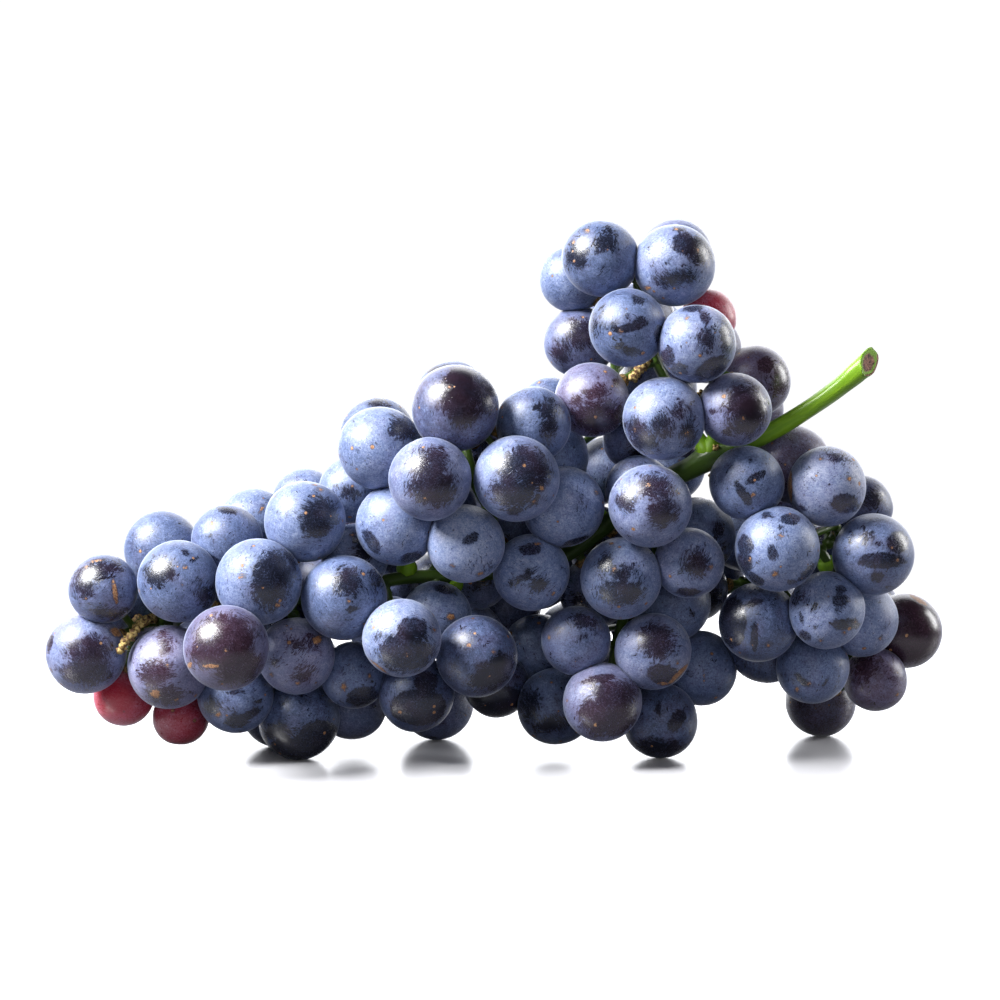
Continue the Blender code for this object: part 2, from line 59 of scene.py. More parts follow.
# ---- how the fruit is marked ------------------------------------------------------------------
# A berry is found by where it sits in the bunch (x, y, z in millimetres). Then come how thick its
# bloom is, how plum its skin is, and its marks as (right, up, half length, half width, turn),
# in berry radii as seen from the front: rubbed bare, smeared by a finger or leaf, and corky.
# The bloom is partly real and partly painted light and shade: thicker bloom makes a berry lighter,
# and it was set thicker on berries that should look more lit and thinner on ones that should look shaded.
RUBBED, SMEARED, CORKY = "rubbed", "smeared", "corky"
# Past FULL, HEAVY mostly makes a berry look more lit: painted light as well as thick bloom.
NEARLY_BARE, THIN, FAIR, FULL, HEAVY = 0.45, 0.62, 0.80, 0.96, 1.10    # how thick the bloom is
MARKED = [
    ((-58, -28, 28.5), FAIR, 0.75, {
        SMEARED: [(0, 0.3, 0.8, 0.5, 0), (-0.1, -0.1, 0.85, 0.5, 0), (0.3, -0.5, 0.6, 0.4, 20)],
        CORKY: [(-0.35, -0.42, 0.2, 0.05, 0), (-0.85, -0.4, 0.1, 0.05, 60)],
    }),
    ((-51, -19, 41.5), FULL, 0.0, {
        SMEARED: [(0.3, 0.05, 0.5, 0.75, -15), (0.75, 0.45, 0.15, 0.4, 20)],
        CORKY: [(-0.37, 0.13, 0.07, 0.05, 0), (0.43, -0.53, 0.08, 0.05, 0)],
    }),
    ((-44.5, -14, 24.5), FULL, 0.55, {
        SMEARED: [(0.2, 0.3, 0.36, 0.2, 10), (0.15, -0.5, 0.3, 0.25, 20), (-0.5, -0.15, 0.12, 0.1, 0)],
        CORKY: [(0.55, 0.4, 0.13, 0.1, 40), (-0.65, -0.5, 0.05, 0.04, 0)],
    }),
    ((-72.5, -13, 22), FULL, 0.75, {
        SMEARED: [(-0.1, 0.6, 0.18, 0.35, 0), (-0.3, -0.15, 0.45, 0.35, 20), (-0.1, -0.65, 0.5, 0.25, 0)],
        RUBBED: [(0.2, 0.6, 0.12, 0.03, -30), (0.45, 0.3, 0.1, 0.03, -50)],
        CORKY: [(-0.33, -0.63, 0.12, 0.1, 0), (-0.02, 0.02, 0.05, 0.04, 0)],
    }),
    ((-69.5, -16, 41), FAIR, 0.0, {
        SMEARED: [(-0.45, 0.2, 0.4, 0.33, 20), (0.62, -0.35, 0.25, 0.3, 0)],
        RUBBED: [(0.18, 0.7, 0.15, 0.06, -30), (0.38, 0.52, 0.15, 0.05, 30), (-0.05, -0.35, 0.02, 0.3, 5)],
        CORKY: [(-0.48, 0.35, 0.05, 0.04, 0)],
    }),
    ((-86, -13, 39.5), FAIR, 0.2, {
        SMEARED: [(-0.2, 0.5, 0.75, 0.3, 10), (-0.55, 0.05, 0.3, 0.45, 0), (0.2, -0.7, 0.6, 0.2, 0)],
        RUBBED: [(0.05, 0.3, 0.32, 0.04, 8), (0.2, 0.45, 0.04, 0.2, 30)],
        CORKY: [(0.33, -0.1, 0.07, 0.35, 8), (-0.2, 0.8, 0.25, 0.03, 10)],
    }),
    ((-90.5, -8, 24), FULL, 0.35, {
        SMEARED: [(0.05, 0.05, 0.6, 0.4, 0), (0, -0.45, 0.75, 0.35, 0)],
        RUBBED: [(-0.88, 0.3, 0.08, 0.25, -10)],
        CORKY: [(0.75, 0.5, 0.16, 0.1, -30)],
    }),
    ((-58, -9, 15), FAIR, 0.0, {
        RUBBED: [(0.05, -0.65, 0.35, 0.2, 5), (0.42, -0.48, 0.3, 0.12, 30), (0.58, -0.18, 0.15, 0.06, 20),
            (0.0, 0.08, 0.25, 0.08, 0)],
        SMEARED: [(-0.6, -0.3, 0.3, 0.2, 0)],
        CORKY: [(-0.45, -0.5, 0.07, 0.06, 0)],
    }),
    ((-44, 0, 9), THIN, 0.0, {
        RUBBED: [(0.45, -0.5, 0.6, 0.45, 15), (-0.2, -0.75, 0.6, 0.3, 0)],
        SMEARED: [(-0.5, -0.35, 0.4, 0.2, 0)],
    }),
    ((-32, -6, 19.5), FAIR, 0.0, {
        RUBBED: [(0.25, -0.65, 0.5, 0.3, 10)],
        CORKY: [(-0.3, -0.35, 0.08, 0.1, 0)],
    }),
    ((-34, -16, 38), FAIR, 0.0, {
        SMEARED: [(0.1, 0.35, 0.35, 0.4, 0), (0.75, 0.35, 0.15, 0.25, 0)],
        RUBBED: [(0.2, -0.25, 0.18, 0.08, 15)],
    }),
    ((-42, -13, 53.5), FULL, 0.0, {
        SMEARED: [(0.35, 0.15, 0.45, 0.6, -30)],
        CORKY: [(0.38, 0.78, 0.06, 0.04, 0)],
    }),
    ((-59.5, -8, 49), FAIR, 0.0, {
        RUBBED: [(0.02, 0.83, 0.28, 0.1, -10), (-0.4, -0.45, 0.2, 0.04, -30), (-0.5, 0.12, 0.14, 0.04, 25)],
    }),
    ((-74.5, -1, 46.5), FAIR, 0.0, {}),
    ((-55, 7, 51.5), FULL, 0.0, {CORKY: [(0.25, 0.4, 0.12, 0.04, 60)]}),
    ((-43.5, 15, 56), FULL, 0.0, {}),
    ((-22.5, -14, 52), FULL, 0.0, {RUBBED: [(-0.6, -0.42, 0.15, 0.36, 32), (0.35, -0.8, 0.3, 0.12, 20)]}),
    ((-26, -15, 71), FULL, 0.0, {SMEARED: [(0.5, 0.5, 0.35, 0.3, 0)]}),
    ((-9.5, -20, 79), THIN, 0.35, {
        RUBBED: [(0.1, 0.55, 0.3, 0.5, 0)],
        SMEARED: [(0.15, 0.3, 0.5, 0.75, 0), (0.3, -0.05, 0.35, 0.3, 0), (0.7, 0.3, 0.3, 0.5, 0)],
    }),
    ((-15, -28, 64), FULL, 0.3, {
        SMEARED: [(0.0, 0.3, 0.5, 0.5, 0), (0.05, -0.2, 0.65, 0.45, 0)],
        RUBBED: [(0.28, 0.74, 0.09, 0.08, 0)],
    }),
    ((3.5, -28, 64), FULL, 0.15, {
        SMEARED: [(0.2, 0.2, 0.65, 0.6, 0), (-0.05, -0.3, 0.65, 0.4, 0)],
        RUBBED: [(-0.03, -0.75, 0.2, 0.11, 10)],
        CORKY: [(0.58, -0.22, 0.06, 0.06, 0)],
    }),
    ((7, -15, 75), FAIR, 0.0, {
        SMEARED: [(0.35, 0.38, 0.3, 0.35, 0), (0.4, -0.1, 0.25, 0.4, 0)],
        RUBBED: [(0.1, 0.45, 0.15, 0.1, 0)],
    }),
    ((-7, -21, 49.5), HEAVY, 0.0, {
        RUBBED: [(0.12, 0.12, 0.26, 0.14, 30)],
        CORKY: [(0.36, -0.77, 0.08, 0.04, 30)],
        SMEARED: [(0.6, -0.6, 0.1, 0.06, 0)],
    }),
    ((6.5, -13, 42), FULL, 0.0, {
        RUBBED: [(-0.05, 0.6, 0.3, 0.17, 0)],
        SMEARED: [(0.2, -0.3, 0.3, 0.2, 0), (-0.2, -0.1, 0.4, 0.1, 30)],
        CORKY: [(0.15, 0.74, 0.1, 0.03, 0)],
    }),
    ((14, -14, 57.5), FULL, 0.0, {
        RUBBED: [(0.3, -0.85, 0.4, 0.08, 20)],
        CORKY: [(0.8, 0.35, 0.05, 0.05, 0)],
    }),
    ((11, 0, 67), FAIR, 0.0, {SMEARED: [(-0.2, 0.7, 0.25, 0.3, 0)]}),
    ((-32.5, -3, 59.5), FULL, 0.0, {
        SMEARED: [(-0.1, -0.1, 0.35, 0.2, 0)],
        CORKY: [(0.0, 0.1, 0.04, 0.04, 0)],
    }),
    ((-14, -4, 32), FULL, 0.0, {
        RUBBED: [(0.25, 0.75, 0.35, 0.12, -15), (0.65, -0.5, 0.1, 0.35, -20)],
        CORKY: [(0.4, 0.0, 0.11, 0.1, 0)],
    }),
    ((-21, -25, 30), HEAVY, 0.1, {
        RUBBED: [(0.28, 0.25, 0.42, 0.3, 0)],
        SMEARED: [(0.15, -0.35, 0.8, 0.55, 0), (-0.55, 0.05, 0.14, 0.12, 0)],
        CORKY: [(-0.55, -0.75, 0.3, 0.025, -40), (0.8, 0.2, 0.06, 0.04, 0)],
    }),
    ((-5, -16, 24.5), THIN, 0.1, {
        SMEARED: [(0.4, -0.4, 0.7, 0.35, 40)],
        CORKY: [(0.3, -0.5, 0.05, 0.03, 20)],
    }),
    ((-18, -9, 15.5), THIN, 0.1, {RUBBED: [(0.05, -0.35, 0.8, 0.5, 0), (0.25, 0.3, 0.35, 0.3, 0)]}),
    ((9, 15, 22), FAIR, 0.0, {}),
    ((-1, 8, 15), NEARLY_BARE, 0.1, {SMEARED: [(-0.2, 0.3, 0.4, 0.3, 0)], RUBBED: [(0, -0.5, 1.0, 0.5, 0)]}),
    ((34.5, -23, 76.5), FULL, 0.15, {
        SMEARED: [(-0.55, -0.4, 0.55, 0.3, -50), (-0.05, -0.2, 0.3, 0.3, 0), (0.6, -0.35, 0.2, 0.35, 0),
            (0.4, 0.2, 0.25, 0.2, 0)],
        CORKY: [(0.55, -0.35, 0.05, 0.05, 0)],
    }),
    ((42, -25, 92.5), FULL, 0.15, {
        RUBBED: [(0.2, 0.65, 0.12, 0.24, 30), (-0.1, 0.9, 0.3, 0.1, 10), (-0.75, -0.35, 0.2, 0.3, -20),
            (-0.45, -0.65, 0.25, 0.2, 0), (0.4, -0.6, 0.5, 0.25, 30)],
        SMEARED: [(0.25, 0.1, 0.25, 0.28, 0), (0.75, 0.2, 0.2, 0.5, 0)],
    }),
    ((27, -20, 96), FAIR, 0.0, {
        RUBBED: [(0.25, 0.72, 0.2, 0.12, -10), (-0.02, 0.27, 0.08, 0.07, 0), (0.05, 0.0, 0.5, 0.12, 12),
            (0.3, 0.15, 0.2, 0.14, 0), (0.1, -0.62, 0.3, 0.12, -10), (-0.2, -0.47, 0.15, 0.08, 20),
            (0.82, -0.2, 0.15, 0.3, 0)],
        SMEARED: [(-0.8, 0, 0.15, 0.25, 0), (-0.55, 0.4, 0.12, 0.1, 0), (-0.3, 0.0, 0.3, 0.12, 0)],
    }),
    ((38, -15, 109), FULL, 0.1, {
        RUBBED: [(0.25, 0.52, 0.33, 0.28, -20), (0.1, 0.86, 0.15, 0.08, 0), (-0.15, 0.1, 0.13, 0.05, 40),
            (0.22, 0.03, 0.06, 0.06, 0)],
        SMEARED: [(0.62, 0.35, 0.3, 0.4, 0), (0.05, -0.32, 0.45, 0.22, 10), (-0.4, -0.35, 0.08, 0.08, 0)],
        CORKY: [(-0.65, -0.55, 0.08, 0.05, 0)],
    }),
    ((21, -12, 110.5), FAIR, 0.0, {
        SMEARED: [(0.15, 0.4, 0.33, 0.33, 0), (-0.6, 0.1, 0.3, 0.4, 0)],
        RUBBED: [(0.22, 0.75, 0.09, 0.13, 30)],
        CORKY: [(-0.35, 0.7, 0.06, 0.05, 0)],
    }),
    ((16, 3, 105.5), FULL, 0.0, {}),
    ((17.5, 3, 92), FAIR, 0.35, {SMEARED: [(0.0, 0.25, 0.45, 0.42, 0), (-0.5, -0.3, 0.3, 0.3, 0)]}),
    ((20, -8, 80), FAIR, 0.75, {
        SMEARED: [(0.2, -0.45, 0.8, 0.5, 0), (-0.35, -0.05, 0.2, 0.15, 0), (0.15, 0.15, 0.4, 0.2, 10)],
        RUBBED: [(0.1, -0.6, 0.22, 0.16, 0), (0.65, 0.45, 0.1, 0.13, 0)],
    }),
    ((11, 12, 77.5), FAIR, 0.0, {SMEARED: [(0, 0, 0.5, 0.5, 0)]}),
    ((50.5, -21, 78.5), FAIR, 0.45, {
        SMEARED: [(0.3, 0.2, 0.6, 0.55, 0), (0.35, -0.35, 0.6, 0.35, 10)],
        RUBBED: [(-0.6, -0.05, 0.15, 0.07, 0), (-0.2, -0.6, 0.15, 0.12, 0), (0.15, 0.45, 0.25, 0.04, 30),
            (-0.2, 0.05, 0.2, 0.05, -20), (0.5, 0.0, 0.4, 0.3, 0)],
    }),
    ((55.5, -5, 83.5), THIN, 0.8, {
        RUBBED: [(0.3, 0.45, 0.25, 0.25, 0)],
        SMEARED: [(0.7, 0.1, 0.3, 0.5, 0)],
    }),
    ((46, 9, 90), THIN, 0.5, {}),
    ((52, 9, 75), FAIR, 0.5, {}),
    ((57, 22, 76), THIN, 0.7, {}),
    ((32, -20, 58), FULL, 0.25, {
        SMEARED: [(0.1, 0.45, 0.5, 0.35, 0), (0.3, -0.15, 0.38, 0.38, 0), (-0.55, 0.1, 0.3, 0.25, 0)],
    }),
    ((25.5, -17, 41.5), FULL, 0.05, {
        SMEARED: [(0.05, 0.12, 0.3, 0.22, 0), (0, -0.35, 0.6, 0.35, 0), (-0.4, 0.3, 0.2, 0.3, 0)],
    }),
    ((41.5, -13, 45), FULL, 0.2, {
        SMEARED: [(0.25, 0.0, 0.38, 0.45, -30)],
        RUBBED: [(0.1, 0.3, 0.02, 0.2, 15), (0.1, 0.25, 0.15, 0.02, -40), (0.0, -0.82, 0.4, 0.12, 0)],
    }),
    ((30.5, -4, 60), FAIR, 0.1, {}),
    ((16.5, -10, 27.5), FAIR, 0.2, {SMEARED: [(0.25, 0.5, 0.5, 0.22, -20), (0.2, 0.1, 0.16, 0.08, 30)]}),
    ((33.5, -11, 25.5), FULL, 0.3, {
        SMEARED: [(0.1, 0.25, 0.55, 0.5, 0)],
        RUBBED: [(0.3, -0.6, 0.5, 0.28, -15)],
        CORKY: [(0.68, -0.58, 0.38, 0.06, 45), (0.3, -0.83, 0.15, 0.04, 0)],
    }),
    ((38, 6, 34), FAIR, 0.0, {RUBBED: [(0.5, -0.3, 0.08, 0.08, 0)]}),
    ((22, -14, 14), FULL, 0.6, {
        SMEARED: [(0.35, 0.25, 0.65, 0.35, 0), (0.15, -0.35, 0.85, 0.6, 0)],
        RUBBED: [(-0.1, 0.58, 0.5, 0.12, 12)],
    }),
    ((12.5, 5, 11), FAIR, 0.0, {SMEARED: [(-0.65, 0, 0.3, 0.45, 0), (-0.1, -0.45, 0.5, 0.25, 0)]}),
    ((35.5, 0, 8.25), THIN, 0.1, {
        RUBBED: [(0.42, 0.0, 0.2, 0.36, -30), (-0.05, 0.3, 0.08, 0.22, 0)],
        SMEARED: [(0, -0.7, 0.7, 0.2, 0)],
    }),
    ((44, 10, 18.5), FAIR, 0.0, {CORKY: [(0.1, -0.2, 0.02, 0.2, 0)]}),
    ((53, -16, 62.5), FAIR, 0.0, {
        RUBBED: [(-0.08, -0.3, 0.13, 0.4, 32), (0.22, 0.15, 0.35, 0.12, 30), (0.1, 0.6, 0.06, 0.06, 0)],
    }),
    ((70.5, -18, 61.5), HEAVY, 0.25, {
        RUBBED: [(0.45, -0.42, 0.38, 0.26, 0), (-0.62, -0.55, 0.12, 0.07, -40), (0.8, -0.5, 0.12, 0.08, 40)],
        SMEARED: [(0.2, 0.75, 0.4, 0.15, -10)],
        CORKY: [(-0.95, 0.0, 0.09, 0.6, 0), (0.55, 0.2, 0.06, 0.06, 0)],
    }),
    ((64, -1, 65.5), THIN, 0.8, {}),
    ((79.5, 1, 55.5), THIN, 0.2, {SMEARED: [(0.3, 0.3, 0.3, 0.3, 0)]}),
    ((81, -13, 47), FAIR, 0.1, {
        RUBBED: [(0.2, -0.15, 0.65, 0.2, 0), (0.1, -0.55, 0.19, 0.15, 20), (0.58, 0.3, 0.28, 0.3, 0),
            (0.1, 0.25, 0.1, 0.08, 0)],
        SMEARED: [(-0.2, 0.4, 0.2, 0.15, 0)],
    }),
    ((59.5, -22, 48.5), FULL, 0.0, {
        RUBBED: [(-0.75, 0.05, 0.2, 0.3, 0), (-0.78, -0.35, 0.2, 0.3, 0), (-0.5, -0.72, 0.22, 0.13, -30),
            (-0.12, -0.1, 0.14, 0.2, 10), (0.3, 0.7, 0.25, 0.13, 0), (-0.25, 0.78, 0.15, 0.08, 10),
            (0.7, -0.55, 0.3, 0.1, 45), (0.35, -0.78, 0.15, 0.08, 0), (0.05, 0.5, 0.08, 0.06, 0)],
        CORKY: [(0.08, 0.3, 0.05, 0.05, 0), (-0.05, -0.6, 0.06, 0.06, 0)],
    }),
    ((70.5, -18, 34.5), FULL, 0.05, {
        RUBBED: [(0.35, 0.52, 0.15, 0.15, 0), (0.35, 0.25, 0.25, 0.2, 0), (0.28, 0.0, 0.1, 0.1, 0),
            (0.5, -0.36, 0.45, 0.16, 0), (-0.3, 0.05, 0.18, 0.09, 45), (-0.65, -0.2, 0.06, 0.2, 20),
            (-0.28, -0.42, 0.1, 0.07, 0), (-0.55, -0.65, 0.2, 0.12, -20)],
        SMEARED: [(-0.7, 0.35, 0.2, 0.2, 0)],
        CORKY: [(0.45, -0.57, 0.04, 0.05, 0), (0.75, -0.3, 0.03, 0.05, 0)],
    }),
    ((79.5, -2, 31.5), FULL, 0.1, {}),
    ((91, 12, 27), NEARLY_BARE, 0.95, {
        SMEARED: [(0.1, 0, 1.0, 1.0, 0)],
        CORKY: [(0.35, 0.82, 0.3, 0.06, -30)],
    }),
    ((56, -10, 31.5), THIN, 0.0, {
        RUBBED: [(-0.65, 0.0, 0.36, 0.7, 0), (-0.1, -0.35, 0.1, 0.38, 0), (-0.1, 0.5, 0.3, 0.1, 20)],
        CORKY: [(0.25, -0.55, 0.06, 0.05, 0)],
    }),
    ((60, 7, 24.5), THIN, 0.0, {}),
    ((68.5, -6, 20.5), FAIR, 0.0, {
        RUBBED: [(-0.27, -0.35, 0.3, 0.1, -40), (0.35, -0.4, 0.05, 0.2, -30)],
        CORKY: [(-0.4, -0.6, 0.05, 0.06, 0)],
    }),
    ((83.5, 4, 16.5), THIN, 0.95, {SMEARED: [(-0.3, 0.4, 0.4, 0.4, 0)]}),
    ((74, 33, 8), NEARLY_BARE, 0.6, {}),
]
UNRIPE = [
    ((-83.5, 3, 13.5), NEARLY_BARE, 0.1, {SMEARED: [(-0.2, -0.1, 0.6, 0.5, 0)]}),
    ((-71, 4, 8.5), NEARLY_BARE, 0.6, {}),
    ((45.5, -4, 97.5), NEARLY_BARE, 0.5, {}),
]
PLAIN_BLOOM = (0.6, 0.9)        # bloom of the berries that have no row above
PLAIN_PLUM = 0.35
SCATTERED = 9                   # marks strewn over each berry, but not over the front of a listed one
SEED = 11
BALL_LEVEL = 5                  # how often the ball that a berry starts from is divided

# ---- colours of the skin, from bare to the thickest bloom -------------------------------------
RIPE_BLUE = [(0.0, (0.004, 0.004, 0.008)), (0.22, (0.015, 0.019, 0.040)), (0.46, (0.046, 0.067, 0.145)),
             (0.76, (0.128, 0.173, 0.325)), (1.0, (0.28, 0.325, 0.47))]
RIPE_PLUM = [(0.0, (0.020, 0.007, 0.013)), (0.22, (0.050, 0.024, 0.042)), (0.46, (0.100, 0.076, 0.142)),
             (0.76, (0.190, 0.180, 0.300)), (1.0, (0.31, 0.30, 0.43))]
UNRIPE_RED = [(0.0, (0.42, 0.014, 0.034)), (0.25, (0.47, 0.036, 0.070)), (0.5, (0.60, 0.15, 0.22)),
              (1.0, (0.80, 0.52, 0.62))]
UNRIPE_DARK = [(0.0, (0.24, 0.008, 0.020)), (0.25, (0.29, 0.022, 0.042)), (0.5, (0.38, 0.09, 0.14)),
               (1.0, (0.55, 0.32, 0.42))]

# ---- the stalks, millimetres ------------------------------------------------------------------
MAIN_STALK = [
    (80, -12, 88.5), (77, -12, 86), (73, -11, 82.5), (67, -10, 78), (61, -8, 74), (56, -7, 71.5),
    (51, -5, 69), (46, -4, 67), (41, -2, 64), (35, 0, 61), (29, 2, 56.5), (23, 4, 51),
    (17, 6, 46), (9, 6, 42), (0, 4, 41),
    (-10, 3, 40), (-20, 2, 40), (-31, 1, 38), (-42, 0, 35.5), (-53, 0, 33.5), (-63, -1, 32.5), (-73, -2, 31),
    (-81, -3, 29.5),
]
MAIN_RADII = [
    2.5, 2.3, 2.0, 1.9, 2.0, 2.2, 2.7,
    2.9, 2.4, 2.1, 2.0, 1.9, 1.8, 1.7, 1.6,
    1.5, 1.5, 1.4, 1.3, 1.2, 1.1, 1.0,
    0.9,
]
SIDE_STALKS = {
    "shoulder": [(46, -4, 67), (42.5, -4, 73), (38, -4, 81), (34, -4, 88), (31, -4, 97),
                 (30, -4, 106)],
    "beside": [(46, -4, 67), (47, -6, 74), (48, -8, 81), (49, -8, 86)],
    "wing": [(51, -5, 69), (53, -2, 60), (58, 0, 54), (66, 0, 50), (72, 1, 44), (73, 3, 38)],
    "wing_low": [(72, 1, 44), (75, 7, 34), (76, 11, 24), (77, 16, 18), (78, 22, 12.5)],
    "front": [(29, 2, 56.5), (31, -1, 50), (31, -1, 41), (27, -3, 31), (25, -2, 22), (25, 1, 15)],
    "upper": [(23, 4, 51), (20, 8, 57), (16, 14, 65), (13, 16, 73)],
    "crown": [(0, 4, 41), (-1, -2, 48), (-2, -8, 55), (-5, -10, 61), (-7, -8, 68), (-8, -5, 73)],
    "left": [(-20, 2, 40), (-22, 4, 47), (-25, 4, 56), (-27, 6, 63)],
    "low": [(-10, 3, 40), (-11, 8, 32), (-10, 8, 23), (-11, 12, 16)],
    "tip_low": [(-42, 0, 35.5), (-40, 4, 28), (-38, 6, 20)],
    "tip_high": [(-53, 0, 33.5), (-54, 3, 39), (-55, 5, 43)],
}
SIDE_RADII = (1.4, 0.95)
# Dried-up remains of stalks: points, and the radius.
WITHERED = [
    ([(-76, -2.5, 31), (-76.5, -8, 32), (-78.3, -12, 31), (-80.5, -14.5, 28.5), (-82.3, -15.8, 25.8)], 0.85),
    ([(33, -4, 89), (30.5, -7, 86.5), (28.5, -9.5, 84.3)], 0.9),
    ([(40, -4, 77), (42, -7, 79.5), (43.8, -9.5, 81.8)], 0.5),
    ([(46, -4, 67), (47.3, -7, 69.6)], 0.6),
    ([(46.5, -4, 65.5), (47, -6, 61.5), (47.4, -7, 58.6)], 0.8),
]
CUT_FACING = (0.70, -0.68, 0.22)    # the way the cut end of the main stalk faces
PEDICEL_RADIUS = 0.85
PEDICEL_LONGEST = 26.0
STALK_GAP = 0.55
STALK_STEP = 2.0
BARE_STALK = 52.0                # right of this and above the next, no short stalk leaves the stem
BARE_HEIGHT = 62.0
MAIN_SIDES = 24
SIDE_SIDES = 16
PEDICEL_SIDES = 12
CUT_ROWS = 5                     # rows of corners that lean towards the cut

# ---- the view ---------------------------------------------------------------------------------
VIEW_POINT = Vector((0.0, -0.0046, 0.05725))
VIEW_DISTANCE = 0.75
VIEW_ELEVATION = math.radians(5.0)
VIEW_WAY = Vector((0.0, -math.cos(VIEW_ELEVATION), math.sin(VIEW_ELEVATION)))
LENS = 122.7
FLOOR_FADE = (0.13, 0.42)        # the floor fades out between these distances, metres


# ---- finding the berries in the frame ---------------------------------------------------------
def sphere_through(points):
    """Centre and radius of the sphere that passes closest to some points."""
    rows = np.column_stack([2 * points, np.ones(len(points))])
    found = np.linalg.lstsq(rows, (points ** 2).sum(axis=1), rcond=None)[0]
    centre = found[:3]
    return centre, math.sqrt(max(found[3] + centre @ centre, 0.0))


def berries_in(node):
    """(centre, radius) in millimetres of each berry of a node, from the corners that lie on it."""
    mesh = node.data
    corners = np.array([v.co for v in mesh.vertices], float) / MM
    corners, index = np.unique(np.round(corners, 4), axis=0, return_inverse=True)
    index = index.ravel()
    beside = [set() for _ in corners]
    for face in mesh.polygons:
        ring = [index[i] for i in face.vertices]
        for i in ring:
            beside[i].update(ring)
    left = np.ones(len(corners), bool)
    found = []
    while left.sum() >= 16:
        best = (0, None)
        for i in np.flatnonzero(left):
            near = {k for j in beside[i] if left[j] for k in beside[j] if left[k]}
            if len(near) < 8:
                continue
            centre, radius = sphere_through(corners[sorted(near)])
            on_it = (np.abs(np.linalg.norm(corners - centre, axis=1) - radius) < 0.02) & left
            if 4 < radius < 12 and on_it.sum() > best[0]:
                best = (on_it.sum(), on_it)
        if best[0] < 12:
            break
        centre, radius = sphere_through(corners[best[1]])
        found.append((centre, radius))
        left &= np.linalg.norm(corners - centre, axis=1) > radius + 0.02
    return found


class Berry:
    """One berry: where it is, how big, which node it belongs to, and how it is marked."""

    def __init__(self, node, centre, radius, rng):
        self.node = node
        self.centre = centre
        self.radius = radius
        self.unripe = node.startswith("unripe")
        self.pole = np.array((0.0, 0.0, 1.0))
        self.stretch = rng.uniform(-0.02, 0.03)
        self.swell = rng.normal(size=(3, 3))
        self.shift = rng.uniform(-400, 400, 3)
        self.bloom = rng.uniform(*PLAIN_BLOOM)
        self.plum = rng.uniform(0, PLAIN_PLUM)
        self.marks = []

    def turned(self, right, up):
        """Which way a spot on the front of the berry lies, and which way is right and up there."""
        eye = np.array(VIEW_POINT + VIEW_WAY * VIEW_DISTANCE) / MM
        to_eye = eye - self.centre
        to_eye /= np.linalg.norm(to_eye)
        across = np.cross((0.0, 0.0, 1.0), -to_eye)
        across = -across / np.linalg.norm(across)
        above = np.cross(to_eye, across)
        spot = across * right + above * up + to_eye * math.sqrt(max(0.0, 1 - right ** 2 - up ** 2))
        return spot / np.linalg.norm(spot), across, above


def all_berries(rng):
    """Every berry of the bunch, node by node."""
    berries = []
    for name in sorted(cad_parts):
        if name != "stem":
            for centre, radius in berries_in(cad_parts[name]):
                berries.append(Berry(name, centre, radius, rng))
    return berries


def mark_berries(berries, rng):
    """Gives every berry its marks: the ones listed for it, and scattered ones where none are listed."""
    centres = np.array([b.centre for b in berries])
    listed = set()
    for place, bloom, plum, marks in MARKED + UNRIPE:
        i = int(np.linalg.norm(centres - (np.array(place) + MIDDLE), axis=1).argmin())
        berry = berries[i]
        listed.add(i)
        berry.bloom = bloom
        berry.plum = plum
        for kind, spots in marks.items():
            for right, up, long, wide, turn in spots:
                at, across, above = berry.turned(right, up)
                berry.marks.append((kind, at, across, above, long, wide, math.radians(turn)))
    for i, berry in enumerate(berries):
        for _ in range(SCATTERED):
            at = rng.normal(size=3)
            at /= np.linalg.norm(at)
            if i in listed and at @ berry.turned(0, 0)[0] > -0.15:
                continue
            across = np.cross(at, (0.3, 0.5, 0.8))
            across /= np.linalg.norm(across)
            kind = (RUBBED, SMEARED, SMEARED, CORKY)[rng.integers(4)]
            size = {RUBBED: 0.25, SMEARED: 0.4, CORKY: 0.05}[kind] * rng.uniform(0.5, 1.3)
            berry.marks.append((kind, at, across, np.cross(at, across), size, size * rng.uniform(0.4, 1),
                                rng.uniform(0, math.pi)))


def mark_field(berry, out, kind):
    """How far inside a mark of one kind each direction lies, in millimetres: below zero outside."""
    field = np.full(len(out), -3.0)
    for mark_kind, at, across, above, long, wide, turn in berry.marks:
        if mark_kind != kind:
            continue
        away = out - at
        x = away @ across
        y = away @ above
        along = x * math.cos(turn) + y * math.sin(turn)
        beside = y * math.cos(turn) - x * math.sin(turn)
        depth = away @ at
        reach = np.sqrt((along / long) ** 2 + (beside / wide) ** 2 + (depth / max(long, wide)) ** 2)
        inside = (1 - reach) * math.sqrt(long * wide) * berry.radius
        field = np.maximum(field, inside)
    return np.clip(field, -3.0, 3.0)


# ---- the stalks to the berries ----------------------------------------------------------------
def skeleton_points():
    points = []
    for route in [MAIN_STALK, *SIDE_STALKS.values()]:
        for a, b in zip(route, route[1:]):
            a = np.array(a, float)
            b = np.array(b, float)
            steps = max(1, round(np.linalg.norm(b - a) / STALK_STEP))
            for t in np.arange(steps) / steps:
                points.append(a + (b - a) * t + MIDDLE)
    return points


def is_clear(start, end, centres, radii, skip):
    along = end - start
    t = np.clip(((centres - start) @ along) / (along @ along), 0.0, 1.0)
    away = np.linalg.norm(centres - (start + t[:, None] * along), axis=1)
    room = away - radii - PEDICEL_RADIUS - STALK_GAP
    room[skip] = 1.0
    return (room > 0).all()


